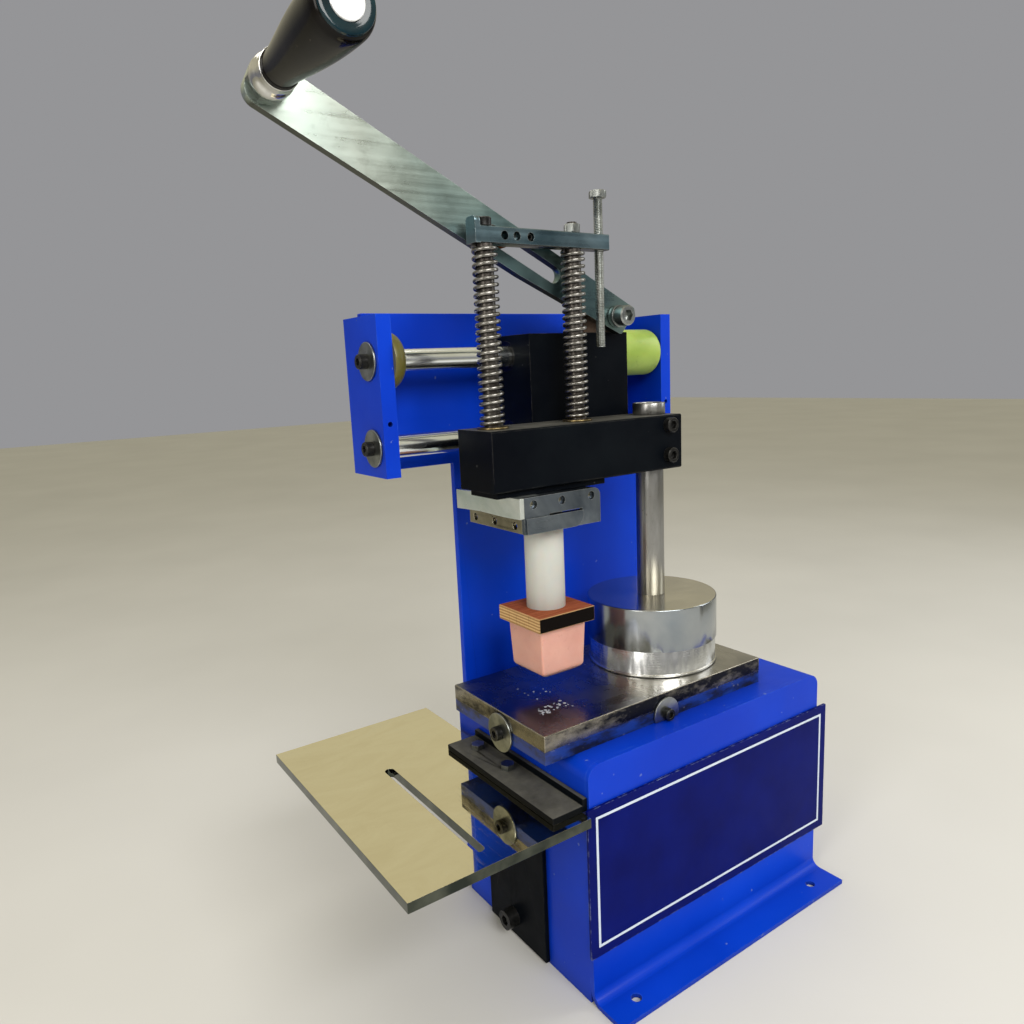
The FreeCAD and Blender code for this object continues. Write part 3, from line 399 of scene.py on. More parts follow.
def black_block():
    s = Shader("blackened_steel", roughness=0.44, Specular_IOR_Level=0.045)
    base = s.blend(s.span(s.noise(18, 4), 0.35, 0.7), (0.0010, 0.0016, 0.0034), (0.0030, 0.0044, 0.0064))
    # Top faces lightened: partly real dust, partly painted light from above.
    up = s.span(s.facing("Z"), 0.75, 0.98)
    dust_and_top_light = s.math("MULTIPLY", up, s.span(s.noise(45, 6, 0.65), 0.30, 0.66, 0.35, 1.0))
    base = s.blend(dust_and_top_light, base, (0.105, 0.103, 0.092))
    worn = s.math("MULTIPLY", s.edges(0.0008, 0.02, 0.16), s.span(s.noise(160, 5), 0.40, 0.62))
    base = s.blend(s.math("MULTIPLY", worn, 0.55), base, (0.085, 0.082, 0.078))
    specks = s.span(s.noise(380, 2, 0.4), 0.765, 0.775)
    base = s.blend(s.math("MULTIPLY", specks, 0.45), base, (0.12, 0.12, 0.115))
    s.colour(base)
    s.rough(s.span(s.noise(60, 6), 0.3, 0.7), 0.34, 0.52)
    s.bump(s.noise(700, 3, 0.6), 0.06, 0.0002)
    return s


def black_screw():
    s = Shader("black_oxide_screw", roughness=0.36, metallic=0.35, Specular_IOR_Level=0.3)
    base = s.blend(s.span(s.noise(300, 3), 0.35, 0.7), (0.004, 0.0042, 0.0045), (0.016, 0.016, 0.0155))
    worn = s.edges(0.0004, 0.03, 0.25)
    s.colour(s.blend(s.math("MULTIPLY", worn, 0.6), base, (0.16, 0.155, 0.145)))
    s.bump(s.noise(1500, 2), 0.08, 0.0001)
    return s


def ground_rod(name, along, tint):
    """Ground and chromed bar with faint streaks along it."""
    s = Shader(name, roughness=0.16, metallic=1.0)
    fine = [4 if letter == along else 160 for letter in "XYZ"]
    streaks = s.noise(3.0, 4, at=s.stretched(fine))
    dark = tuple(value * 0.85 for value in tint)
    s.colour(s.blend(s.span(streaks, 0.30, 0.72), dark, tint))
    s.rough(s.span(s.noise(2.0, 5, at=s.stretched(fine)), 0.3, 0.7), 0.10, 0.26)
    rings = [260 if letter == along else 1 for letter in "XYZ"]
    s.bump(s.noise(6.0, 2, at=s.stretched(rings)), 0.03, 0.0002)
    return s


def greased_rod():
    """Ground guide rod inside a spring, dulled by old grease."""
    s = Shader("greased_guide_rod", roughness=0.34, metallic=0.85)
    base = s.blend(s.span(s.noise(90, 4), 0.35, 0.7), (0.040, 0.034, 0.030), (0.115, 0.105, 0.095))
    s.colour(base)
    s.rough(s.noise(140, 4), 0.26, 0.46)
    s.bump(s.noise(700, 2), 0.04, 0.0001)
    return s


def dull_rod():
    """The cup's rod: plain turned steel with faint rust freckles."""
    s = Shader("turned_rod_steel", roughness=0.30, metallic=1.0)
    fleck = s.noise(60, 5, 0.65, at=s.stretched((1, 1, 0.25)))
    base = s.blend(s.span(fleck, 0.32, 0.70), (0.215, 0.215, 0.21), (0.37, 0.37, 0.365))
    freckle = s.span(s.noise(420, 3), 0.66, 0.74)
    s.colour(s.blend(s.math("MULTIPLY", freckle, 0.5), base, (0.09, 0.075, 0.06)))
    s.rough(s.span(fleck, 0.3, 0.7), 0.24, 0.42)
    s.bump(s.noise(5.0, 2, at=s.stretched((1, 1, 420))), 0.05, 0.0002)
    return s


def zinc_surface(s, base, turn=(0, 0, 0)):
    """Adds blots, bright edges and drawing marks to zinc plating of the given colour."""
    blot = s.span(s.noise(28, 5, 0.7), 0.60, 0.76, 0.0, 0.40)
    base = s.blend(blot, base, (0.10, 0.115, 0.10))
    s.colour(s.blend(s.math("MULTIPLY", s.edges(0.0006, 0.02, 0.2), 0.5), base, (0.70, 0.74, 0.74)))
    drawn = s.noise(2.0, 4, at=s.stretched((3, 220, 220), turn))
    mottled = s.math("MULTIPLY", s.noise(22, 5, 0.65), s.math("ADD", drawn, 0.5))
    s.rough(s.span(mottled, 0.25, 0.7), 0.20, 0.44)
    s.bump(drawn, 0.05, 0.0003)
    s.bump(s.noise(340, 3), 0.03, 0.0002)
    return s


def zinc_lever(low, high):
    """Zinc-plated bar: bright at the handle end, going to a dark teal toward the pivot; the brightness at
    the handle end is a painted reflection and the darkness at the pivot end painted shade, over the bar's
    own teal tint.
    """
    s = Shader("zinc_lever", roughness=0.26, metallic=1.0)
    tint = s.noise(9, 3, 0.5, distortion=1.0)
    along = s.math("ADD", s.axis("X"), s.math("MULTIPLY", s.noise(14, 4, 0.6), 0.10))
    # This share runs from handle to pivot and carries a painted reflection at the handle end and painted
    # shade at the pivot end.
    worn = s.span(along, low.x + 0.24 * (high.x - low.x), low.x + 0.78 * (high.x - low.x))
    bright_end_painted_reflection = s.blend(s.span(tint, 0.36, 0.66), (0.46, 0.57, 0.53), (0.56, 0.60, 0.54))
    # Pivot end: the real teal tint, darkened as painted shade.
    aged = s.blend(s.span(tint, 0.40, 0.64), (0.115, 0.185, 0.195), (0.20, 0.28, 0.26))
    base = s.blend(worn, bright_end_painted_reflection, aged)
    # Painted shade: faces that look down are darkened almost to black.
    underside_shade = s.span(s.facing("Z"), -0.45, -0.80)
    base = s.blend(s.math("MULTIPLY", underside_shade, 0.92), base, (0.040, 0.042, 0.030))
    rise = math.atan2(high.z - low.z, high.x - low.x)
    return zinc_surface(s, base, (0, -rise, 0))


def zinc_steel(name, dark, light, underside_shade):
    """Zinc plating with its shifting tint; the last argument is the painted shade colour for faces that look
    down.
    """
    s = Shader(name, roughness=0.26, metallic=1.0)
    tint = s.noise(22, 4, 0.6, distortion=1.0)
    base = s.blend(s.span(tint, 0.34, 0.68), dark, light)
    # Painted shade on faces that look down.
    low = s.span(s.facing("Z"), -0.3, -0.7)
    return zinc_surface(s, s.blend(low, base, underside_shade))


def zinc_small():
    s = Shader("zinc_hardware", roughness=0.3, metallic=1.0)
    base = s.blend(s.span(s.noise(90, 4), 0.35, 0.68), (0.17, 0.185, 0.18), (0.40, 0.42, 0.41))
    base = s.blend(s.span(s.noise(240, 4), 0.62, 0.72, 0.0, 0.55), base, (0.10, 0.09, 0.07))
    s.colour(s.blend(s.math("MULTIPLY", s.edges(0.0004, 0.03, 0.25), 0.4), base, (0.70, 0.71, 0.70)))
    s.rough(s.noise(150, 4), 0.2, 0.45)
    s.bump(s.noise(800, 3), 0.06, 0.0001)
    return s


def spring_steel():
    s = Shader("spring_wire", roughness=0.28, metallic=1.0)
    base = s.blend(s.span(s.noise(160, 4), 0.35, 0.7), (0.155, 0.15, 0.14), (0.36, 0.35, 0.335))
    # Painted shade: the wire darkens between the coils and against the rod, by ambient occlusion.
    grime_and_shade = s.span(s.corner_shade(0.0030), 0.15, 0.75, 0.85, 0.0)
    s.colour(s.blend(grime_and_shade, base, (0.028, 0.024, 0.021)))
    s.rough(s.noise(260, 3), 0.20, 0.42)
    s.bump(s.noise(900, 2), 0.05, 0.0001)
    return s


def around(s, centre):
    """Distance from a vertical axis through centre."""
    flat = s.node("ShaderNodeVectorMath", {0: s.place, 1: centre}, operation="SUBTRACT").outputs[0]
    flat = s.node("ShaderNodeVectorMath", {0: flat, 1: (1, 1, 0)}, operation="MULTIPLY").outputs[0]
    return s.node("ShaderNodeVectorMath", {0: flat}, operation="LENGTH").outputs["Value"]


def turned_metal(name, centre, dark, light, low, high):
    """Lathe-turned metal: fine rings about a vertical axis, a brighter lid and darker sides; the lid's warm
    beige is a painted reflection of a warm wall.
    """
    s = Shader(name, roughness=low, metallic=1.0)
    radius = around(s, centre)
    ring_place = s.node("ShaderNodeCombineXYZ", {"X": radius, "Z": s.axis("Z")}).outputs[0]
    rings = s.noise(2600.0, 2, 0.6, at=ring_place)
    smear = s.noise(24, 5, 0.6, distortion=0.4)
    # Painted reflection: top faces take a warm beige, whatever the metal's own tint.
    lid = s.blend(s.span(smear, 0.3, 0.72), (0.60, 0.57, 0.47), (0.76, 0.72, 0.59))
    side = s.blend(s.span(smear, 0.3, 0.72), dark, light)
    s.colour(s.blend(s.span(s.facing("Z"), 0.7, 0.95), side, lid))
    s.rough(s.span(s.math("MULTIPLY", smear, s.math("ADD", rings, 0.5)), 0.2, 0.75), low, high)
    s.bump(rings, 0.045, 0.0002)
    scratch = s.span(s.noise(5, 3, at=s.stretched((300, 8, 30), (0.3, 0.5, 0.9))), 0.66, 0.70)
    s.bump(scratch, 0.04, 0.0001)
    return s


def cliche_steel(cup):
    """Ground printing plate: ink haze away from the cup, inked sides and bright edges."""
    s = Shader("cliche_ground_steel", roughness=0.2, metallic=1.0)
    top = s.span(s.facing("Z"), 0.7, 0.95)
    smear = s.noise(3.2, 5, 0.62, at=s.stretched((14, 4, 6)), distortion=0.8)
    steel = s.blend(s.span(smear, 0.30, 0.72), (0.26, 0.255, 0.24), (0.52, 0.50, 0.46))
    haze = s.span(around(s, cup), 0.052, 0.125)
    steel_top = s.blend(s.math("MULTIPLY", haze, 0.78), steel, (0.055, 0.070, 0.125))
    side_ink = s.span(s.noise(26, 6, 0.7, at=s.stretched((1, 1, 2.2))), 0.40, 0.56)
    steel_side = s.blend(side_ink, (0.27, 0.25, 0.21), (0.012, 0.013, 0.020))
    base = s.blend(top, steel_side, steel_top)
    bright = s.math("MULTIPLY", s.edges(0.0010, 0.02, 0.14), s.span(s.noise(70, 5), 0.25, 0.5))
    base = s.blend(s.math("MULTIPLY", bright, 0.85), base, (0.58, 0.54, 0.46))
    s.colour(base)
    s.rough(s.span(s.noise(30, 6, 0.7, distortion=0.5), 0.3, 0.7), 0.14, 0.40)
    s.bump(s.noise(2.0, 3, at=s.stretched((8, 900, 8))), 0.05, 0.0002)
    return s


def etched_dots():
    s = Shader("etched_mark", roughness=0.55, metallic=0.3)
    s.colour(s.blend(s.span(s.noise(700, 3), 0.35, 0.65), (0.24, 0.26, 0.32), (0.50, 0.53, 0.60)))
    return s


def bed_paint():
    s = Shader("bed_plate_finish", roughness=0.34)
    ink = s.span(s.noise(38, 6, 0.7, at=s.stretched((1, 1, 3))), 0.42, 0.58)
    base = s.blend(ink, (0.006, 0.030, 0.20), (0.004, 0.005, 0.010))
    s.colour(s.blend(s.span(s.noise(210, 4), 0.66, 0.72, 0.0, 0.7), base, (0.20, 0.20, 0.21)))
    s.rough(s.noise(90, 5), 0.2, 0.5)
    return s


def mirror_table():
    s = Shader("mirror_plate", roughness=0.05, metallic=1.0)
    smear = s.noise(5, 6, 0.65, at=s.stretched((4, 9, 1), (0, 0, 0.5)), distortion=1.2)
    top = s.blend(s.span(smear, 0.35, 0.72), (0.84, 0.77, 0.55), (0.90, 0.84, 0.62))
    side = s.blend(s.span(s.noise(60, 4), 0.35, 0.7), (0.035, 0.042, 0.036), (0.12, 0.13, 0.105))
    s.colour(s.blend(s.span(s.facing("Z"), 0.6, 0.95), side, top))
    hair = s.span(s.noise(3, 2, at=s.stretched((700, 14, 1), (0, 0, 0.35))), 0.63, 0.66)
    s.rough(s.math("MAXIMUM", s.span(smear, 0.55, 0.8), s.math("MULTIPLY", hair, 0.5)), 0.03, 0.30)
    s.bump(s.noise(14, 2), 0.012, 0.002)
    return s


def aged_bronze(name, dark, light):
    s = Shader(name, roughness=0.35, metallic=1.0)
    s.colour(s.blend(s.span(s.noise(120, 5), 0.35, 0.7), dark, light))
    s.bump(s.noise(900, 2), 0.05, 0.0001)
    return s


def lug_brown():
    s = Shader("oxidised_lug", roughness=0.5, metallic=0.5)
    s.colour(s.blend(s.span(s.noise(70, 6, 0.7), 0.35, 0.7), (0.035, 0.022, 0.016), (0.13, 0.085, 0.06)))
    s.bump(s.noise(300, 5), 0.15, 0.0002)
    return s


def cast_pu(name, dark, light):
    s = Shader(name, roughness=0.40, Subsurface_Weight=0.12, Subsurface_Scale=0.004, Coat_Weight=0.10)
    base = s.blend(s.span(s.noise(40, 4), 0.3, 0.7), dark, light)
    grime_and_shade = s.span(s.noise(110, 6, 0.7), 0.60, 0.72, 0.0, 0.35)
    s.colour(s.blend(grime_and_shade, base, tuple(value * 0.35 for value in dark)))
    s.rough(s.noise(70, 5), 0.30, 0.52)
    s.bump(s.noise(420, 3), 0.05, 0.0002)
    return s


def nylon(top):
    s = Shader("turned_nylon", roughness=0.42, Subsurface_Weight=0.25, Subsurface_Scale=0.006)
    yellow = s.math("MULTIPLY", s.span(s.axis("Z"), top - 0.024, top - 0.002),
                    s.span(s.noise(40, 4), 0.20, 0.55))
    base = s.blend(s.span(s.noise(25, 4), 0.3, 0.7), (0.45, 0.46, 0.44), (0.52, 0.53, 0.50))
    s.colour(s.blend(yellow, base, (0.17, 0.145, 0.080)))
    s.rough(s.noise(60, 4), 0.34, 0.5)
    s.bump(s.noise(3.0, 2, at=s.stretched((1, 1, 900))), 0.06, 0.0002)
    return s


def plywood():
    """Plywood: veneers on the sides, stained top face, front edge blackened partly by ink and partly by
    painted shade.
    """
    s = Shader("stained_plywood", roughness=0.62, Specular_IOR_Level=0.06)
    grain = s.noise(4.0, 5, 0.6, at=s.stretched((16, 220, 16)), distortion=0.3)
    wobble = s.math("MULTIPLY", s.noise(30, 2), 0.0009)
    two_veneers = 1.9 * MM
    layer = s.math("MULTIPLY", s.math("ADD", s.axis("Z"), wobble), 2 * math.pi / two_veneers)
    bands = s.span(s.math("SINE", layer), -0.25, 0.35)
    side = s.blend(bands, (0.34, 0.19, 0.080), (0.60, 0.41, 0.20))
    side = s.blend(s.math("MULTIPLY", s.span(grain, 0.5, 0.75), 0.5), side, (0.13, 0.07, 0.03))
    top = s.blend(s.span(grain, 0.3, 0.7), (0.16, 0.035, 0.014), (0.36, 0.105, 0.045))
    base = s.blend(s.span(s.facing("Z"), 0.6, 0.9), side, top)
    # Front face near black: partly ink stains, partly painted shade.
    front = s.span(s.facing("Y"), -0.6, -0.95)
    ink_and_painted_shade = s.math("MULTIPLY", front, s.span(s.noise(60, 6, 0.75), 0.30, 0.42, 0.88, 1.0))
    base = s.blend(ink_and_painted_shade, base, (0.0030, 0.0018, 0.0014))
    s.colour(base)
    s.bump(grain, 0.25, 0.0004)
    s.bump(bands, 0.12, 0.0003)
    return s


def silicone():
    s = Shader("pad_silicone", roughness=0.50, Subsurface_Weight=0.45, Subsurface_Scale=0.006)
    s.surface.inputs["Subsurface Radius"].default_value = (1.0, 0.45, 0.30)
    base = s.blend(s.span(s.noise(45, 4), 0.3, 0.7), (0.56, 0.285, 0.235), (0.65, 0.36, 0.30))
    s.colour(s.blend(s.span(s.noise(240, 5), 0.62, 0.72, 0.0, 0.25), base, (0.35, 0.15, 0.12)))
    s.rough(s.noise(90, 4), 0.42, 0.60)
    s.bump(s.noise(600, 3), 0.05, 0.0002)
    return s


def glossy_grip():
    s = Shader("moulded_grip", roughness=0.18, Specular_IOR_Level=0.16, Coat_Weight=0.03,
               Coat_Roughness=0.06)
    base = s.blend(s.span(s.noise(35, 4), 0.35, 0.7), (0.0014, 0.0013, 0.0014), (0.0060, 0.0045, 0.0038))
    dust_and_top_light = s.span(s.noise(420, 3, 0.6), 0.73, 0.76, 0.0, 0.4)
    s.colour(s.blend(dust_and_top_light, base, (0.16, 0.13, 0.10)))
    s.rough(s.span(s.noise(26, 6, 0.7), 0.35, 0.75), 0.12, 0.26)
    s.bump(s.noise(180, 4), 0.025, 0.0002)
    return s


def cap_ring():
    s = Shader("grip_cap_teal", roughness=0.12, Specular_IOR_Level=0.3, Coat_Weight=0.15,
               Coat_Roughness=0.05)
    s.colour(s.blend(s.span(s.noise(90, 4), 0.3, 0.7), (0.002, 0.010, 0.016), (0.004, 0.024, 0.032)))
    return s


def cap_disc():
    s = Shader("grip_cap_disc", roughness=0.14, metallic=0.15, Coat_Weight=0.5)
    s.colour(s.blend(s.span(s.noise(80, 4), 0.3, 0.7), (0.80, 0.82, 0.84), (0.94, 0.95, 0.96)))
    s.bump(s.noise(500, 2), 0.02, 0.0001)
    return s


def dark_hole():
    s = Shader("rubber_and_ferrite", roughness=0.6)
    s.colour(s.blend(s.noise(300, 3), (0.010, 0.010, 0.010), (0.030, 0.030, 0.030)))
    return s


def floor_paper():
    s = Shader("studio_floor", roughness=0.75)
    s.colour(s.blend(s.span(s.noise(3, 3), 0.3, 0.7), (0.56, 0.56, 0.56), (0.60, 0.60, 0.60)))
    return s


# Where the CAD parts are ----------------------------------------------------------

cup_axis = sum(box_of("cup_body"), Vector()) / 2
lever_low, lever_high = box_of("lever_bar")
plate_top = box_of("cliche_plate")[1].z
stem_top = box_of("pad_stem")[1].z

PAINT = blue_paint()
LABEL = navy_label()
BLACK = black_block()
SCREW = black_screw()
RAIL = ground_rod("rail_chrome", "X", (0.90, 0.95, 0.98))
GUIDE = greased_rod()
CUP_ROD = dull_rod()
LEVER = zinc_lever(lever_low, lever_high)
# The last colour of each zinc below is the painted shade on its faces that look down.
BAR_ZINC = zinc_steel("zinc_bar", (0.075, 0.13, 0.16), (0.19, 0.27, 0.31), (0.04, 0.04, 0.035))
ZINC = zinc_steel("zinc_clamp", (0.035, 0.048, 0.072), (0.19, 0.22, 0.255), (0.05, 0.045, 0.04))
TAN_ZINC = zinc_steel("zinc_tan", (0.17, 0.155, 0.10), (0.40, 0.37, 0.27), (0.10, 0.09, 0.07))
PALE_ZINC = zinc_steel("zinc_pale", (0.58, 0.67, 0.65), (0.90, 0.94, 0.92), (0.12, 0.12, 0.10))
HARDWARE = zinc_small()
SPRING = spring_steel()
CUP = turned_metal("polished_cup", cup_axis, (0.24, 0.275, 0.31), (0.41, 0.43, 0.44), 0.12, 0.26)
CUP_RING = turned_metal("ground_cup_ring", cup_axis, (0.50, 0.52, 0.54), (0.82, 0.83, 0.82), 0.16, 0.32)
CLICHE = cliche_steel(cup_axis)
BED = bed_paint()
TABLE = mirror_table()
BRONZE = aged_bronze("bush_bronze", (0.10, 0.075, 0.035), (0.30, 0.23, 0.11))
RUST = aged_bronze("rusted_roller", (0.10, 0.03, 0.010), (0.42, 0.16, 0.05))
# Rail bushes near black: dark steel, darkened further as painted shade of the bore the rails run into.
BUSH_AND_BORE_SHADE = aged_bronze("rail_bush_and_bore_shade", (0.012, 0.012, 0.013), (0.035, 0.033, 0.030))
LUG = lug_brown()
MUSTARD = cast_pu("mustard_polyurethane", (0.080, 0.072, 0.012), (0.125, 0.110, 0.020))
LIME = cast_pu("lime_polyurethane", (0.23, 0.34, 0.050), (0.33, 0.45, 0.085))
NYLON = nylon(stem_top)
PLY = plywood()
SILICONE = silicone()
GRIP = glossy_grip()
CHROME = ground_rod("ferrule_chrome", "Y", (0.72, 0.72, 0.70))
HIDDEN = dark_hole()

DRESSED = [
    (PAINT, 0.0, ("base_shell",)),
    (PAINT, 0.7, ("column_plate", "rail_end_left", "rail_end_right")),
    (RAIL, 0.0, ("guide_rail_upper", "guide_rail_lower")),
    (GUIDE, 0.0, ("head_rod_left", "head_rod_right")),
    (CUP_ROD, 0.5, ("cup_rod", "cup_rod_collar")),
    (BLACK, 0.6, ("carriage_block", "front_block", "yoke_plate", "table_bracket_upper",
                  "table_bracket_lower")),
    (BAR_ZINC, 0.35, ("top_bar",)),
    (ZINC, 0.35, ("clamp_front_angle",)),
    (TAN_ZINC, 0.35, ("clamp_side_angle",)),
    (PALE_ZINC, 0.35, ("clamp_upper_angle",)),
    (LEVER, 0.5, ("lever_bar",)),
    (HARDWARE, 0.25, ("rail_washers", "cliche_washers", "roller_pin", "pivot_spacers",
                      "column_bolts", "table_bolts", "handle_spindle")),
    (SCREW, 0.0, ("clamp_screws", "bracket_screws")),
    (CUP, 0.3, ("cup_body",)),
    (CUP_RING, 0.3, ("cup_ring",)),
    (HIDDEN, 0.0, ("cup_seal", "cup_magnet")),
    (CLICHE, 0.4, ("cliche_plate",)),
    (BED, 0.4, ("bed_plate",)),
    (LABEL, 0.3, ("name_plate",)),
    (TABLE, 0.15, ("work_table",)),
    (BRONZE, 0.2, ("guide_bushings",)),
    (RUST, 0.2, ("roller",)),
    (BUSH_AND_BORE_SHADE, 0.2, ("rail_bushings",)),
    (LUG, 0.5, ("lever_lug",)),
    (MUSTARD, 0.3, ("bumper_left",)),
    (NYLON, 0.5, ("pad_stem",)),
    (PLY, 0.0, ("pad_block",)),
    (CHROME, 0.3, ("handle_ferrule",)),
]


def dress_frame():
    """Dresses the CAD nodes that stay, and rounds the base panels except at their welds."""
    for shader, bevel, nodes in DRESSED:
        for node in nodes:
            dress(node, shader, bevel)
    shell_low, shell_high = box_of("base_shell")
    round_outside("base_front_panel", PAINT, 1.4, lambda p: p.y > shell_low.y - 0.01 * MM)
    round_outside("base_rear_panel", PAINT, 1.4, lambda p: p.y < shell_high.y + 0.01 * MM)


# Detailed pieces ------------------------------------------------------------------

def solid_boxes(node):
    """Boxes of the separate solids in a CAD node, lowest corner first."""
    mesh = NODES[node].data
    parent = list(range(len(mesh.vertices)))

    def root(i):
        while parent[i] != i:
            parent[i] = parent[parent[i]]
            i = parent[i]
        return i

    seen = {}
    for vertex in mesh.vertices:
        key = tuple(round(value, 6) for value in vertex.co)
        if key in seen:
            parent[root(vertex.index)] = root(seen[key])
        seen[key] = vertex.index
    for face in mesh.polygons:
        first = root(face.vertices[0])
        for other in face.vertices[1:]:
            parent[root(other)] = first
            first = root(first)
    groups = {}
    for vertex in mesh.vertices:
        groups.setdefault(root(vertex.index), []).append(vertex.co)
    boxes = []
    for points in groups.values():
        low = Vector([min(p[i] for p in points) for i in range(3)])
        high = Vector([max(p[i] for p in points) for i in range(3)])
        boxes.append((low, high))
    return sorted(boxes, key=lambda pair: tuple(round(v, 5) for v in pair[0]))


def along_axis(low, high):
    """Index of a screw's long axis: the one whose other two sizes are equal."""
    size = high - low
    pairs = [(abs(size[(i + 1) % 3] - size[(i + 2) % 3]), i) for i in range(3)]
    return min(pairs)[1]


def detailed_screws(node, shader, slot, body, heads):
    """Replaces a node's plain cap screws; heads(low, high) says which way along its axis a screw
    points, how high its head is and its shank's radius."""
    made = []
    for low, high in solid_boxes(node):
        inward, head_h, shank_r = heads(low, high)
        axis = along_axis(low, high)
        centre = (low + high) / 2
        direction = Vector((0, 0, 0))
        direction[axis] = inward
        head_r = (high[(axis + 1) % 3] - low[(axis + 1) % 3]) / 2
        length = high[axis] - low[axis]
        seat = centre.copy()
        seat[axis] = (low if inward > 0 else high)[axis] + inward * head_h
        made.append(cap_screw("screw", seat, direction, head_r, head_h, head_r,
                              shank_r, length - head_h))
    finish_piece(joined("detailed_" + node, made), shader, slot, body, node)


def rail_head(low, high):
    return (1 if low.x < 0 else -1, 5.5 * MM, 2.5 * MM)


def plate_head(low, high):
    return (1, (3.6 if along_axis(low, high) == 1 else 4.2) * MM, 1.5 * MM)


def carriage_head(low, high):
    """Upright screws hold the lug, those at the front hold the cup's rod and the rest the front block."""
    if along_axis(low, high) == 2:
        return (-1, 4.6 * MM, 2.5 * MM)
    if low.y < 0:
        return (1, 5.0 * MM, 3.0 * MM)
    return (-1, 6.0 * MM, 3.0 * MM)


def pivot_head(low, high):
    return (1, 8.0 * MM, 3.6 * MM)


def make_screws():
    detailed_screws("rail_screws", SCREW, "black_screw", "frame", rail_head)
    detailed_screws("cliche_screws", SCREW, "black_screw", "frame", plate_head)
    detailed_screws("carriage_screws", SCREW, "black_screw", "carriage", carriage_head)
    detailed_screws("pivot_screw", HARDWARE, "zinc_steel", "carriage", pivot_head)


def make_head_screws():
    """Cap screw on the left rod and the set screw in the bar's third hole."""
    made = []
    for low, high in solid_boxes("head_screws"):
        centre = (low + high) / 2
        radius = (high.x - low.x) / 2
        if high.z - low.z > high.y - low.y:
            head_h = 5.0 * MM
            seat = (centre.x, centre.y, high.z - head_h)
            made.append(cap_screw("rod_cap", seat, (0, 0, -1), radius, head_h, radius,
                                  2.0 * MM, high.z - low.z - head_h))
        else:
            length = high.y - low.y
            seat = (centre.x, low.y + 0.9 * length, centre.z)
            made.append(cap_screw("grub", seat, (0, 1, 0), radius, 0.9 * length, radius * 0.95,
                                  radius * 0.9, 0.1 * length))
    finish_piece(joined("detailed_head_screws", made), SCREW, "black_screw", "head", "head_screws")


def make_springs():
    """Coil springs, left and right, built to the height of their CAD boxes."""
    wire = 1.18 * MM
    for side in ("left", "right"):
        node = "spring_" + side
        low, high = box_of(node)
        centre = (low + high) / 2
        radius = (high.x - low.x) / 2 - wire
        height = high.z - low.z
        piece = coil("coil_" + node, (centre.x, centre.y, low.z), height, radius, wire, turns=23.5)
        finish_piece(piece, SPRING, "spring_steel", "carriage", node)
        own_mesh(piece)


PAD_SIDES = (35.6 * MM, 32.4 * MM)
PAD_CORNER = 1.5 * MM
PAD_DOME_R = 37.0 * MM
PAD_SKIN = 0.05 * MM
PAD_LIP = 1.3 * MM
PAD_EDGE_HEIGHT = 5.0 * MM
PAD_CORNER_POINTS = 7
PAD_SIDE_STEPS = 12
# Share of the way out from the middle, and how far the softened edge lifts the ring off the dome.
PAD_RINGS = [(0.985, 0.45 * MM), (0.95, 0.06 * MM), (0.88, 0.0), (0.78, 0.0), (0.65, 0.0), (0.50, 0.0),
             (0.34, 0.0), (0.17, 0.0)]


def rounded_section(side):
    """Points of a square with rounded corners, counter-clockwise."""
    points = []
    inner = side / 2 - PAD_CORNER
    for quarter in range(4):
        centre_x = inner * (1 if quarter in (0, 3) else -1)
        centre_y = inner * (1 if quarter in (0, 1) else -1)
        for step in range(PAD_CORNER_POINTS):
            angle = math.pi / 2 * quarter + math.pi / 2 * step / (PAD_CORNER_POINTS - 1)
            points.append((centre_x + PAD_CORNER * math.cos(angle),
                           centre_y + PAD_CORNER * math.sin(angle)))
    return points


def make_pad():
    """Silicone pad: slightly tapered square sides with a softened edge round a low dome."""
    low, high = box_of("silicone_pad")
    centre = (low + high) / 2
    height = high.z - low.z
    tip = low.z + PAD_SKIN

    def outline(z):
        """Section of the square prism at height z."""
        share = (high.z - z) / height
        return rounded_section(PAD_SIDES[0] + (PAD_SIDES[1] - PAD_SIDES[0]) * share)

    def dome(x, y):
        return tip + (x * x + y * y) / (2 * PAD_DOME_R)

    edge = [dome(x, y) + PAD_LIP for x, y in outline(low.z + PAD_EDGE_HEIGHT)]
    count = len(edge)
    rows = []
    for step in range(PAD_SIDE_STEPS + 1):
        heights = [high.z + (lowest - high.z) * step / PAD_SIDE_STEPS for lowest in edge]
        rows.append([(*outline(z)[i], z) for i, z in enumerate(heights)])
    rim = [(x, y) for x, y, z in rows[-1]]
    for scale, lift in PAD_RINGS:
        rows.append([(x * scale, y * scale, dome(x * scale, y * scale) + lift) for x, y in rim])
    vertices = [(centre.x + x, centre.y + y, z) for row in rows for x, y, z in row]
    bottom = len(vertices)
    vertices.append((centre.x, centre.y, tip))
    last = bottom - count
    faces = side_faces(len(rows), count)
    faces += [[last + i, last + (i + 1) % count, bottom] for i in range(count)]
    faces.append(list(range(count)))
    piece = make_object("pad_moulding", vertices, faces, smooth_angle=60)
    finish_piece(piece, SILICONE, "silicone", "head", "silicone_pad")
    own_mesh(piece)


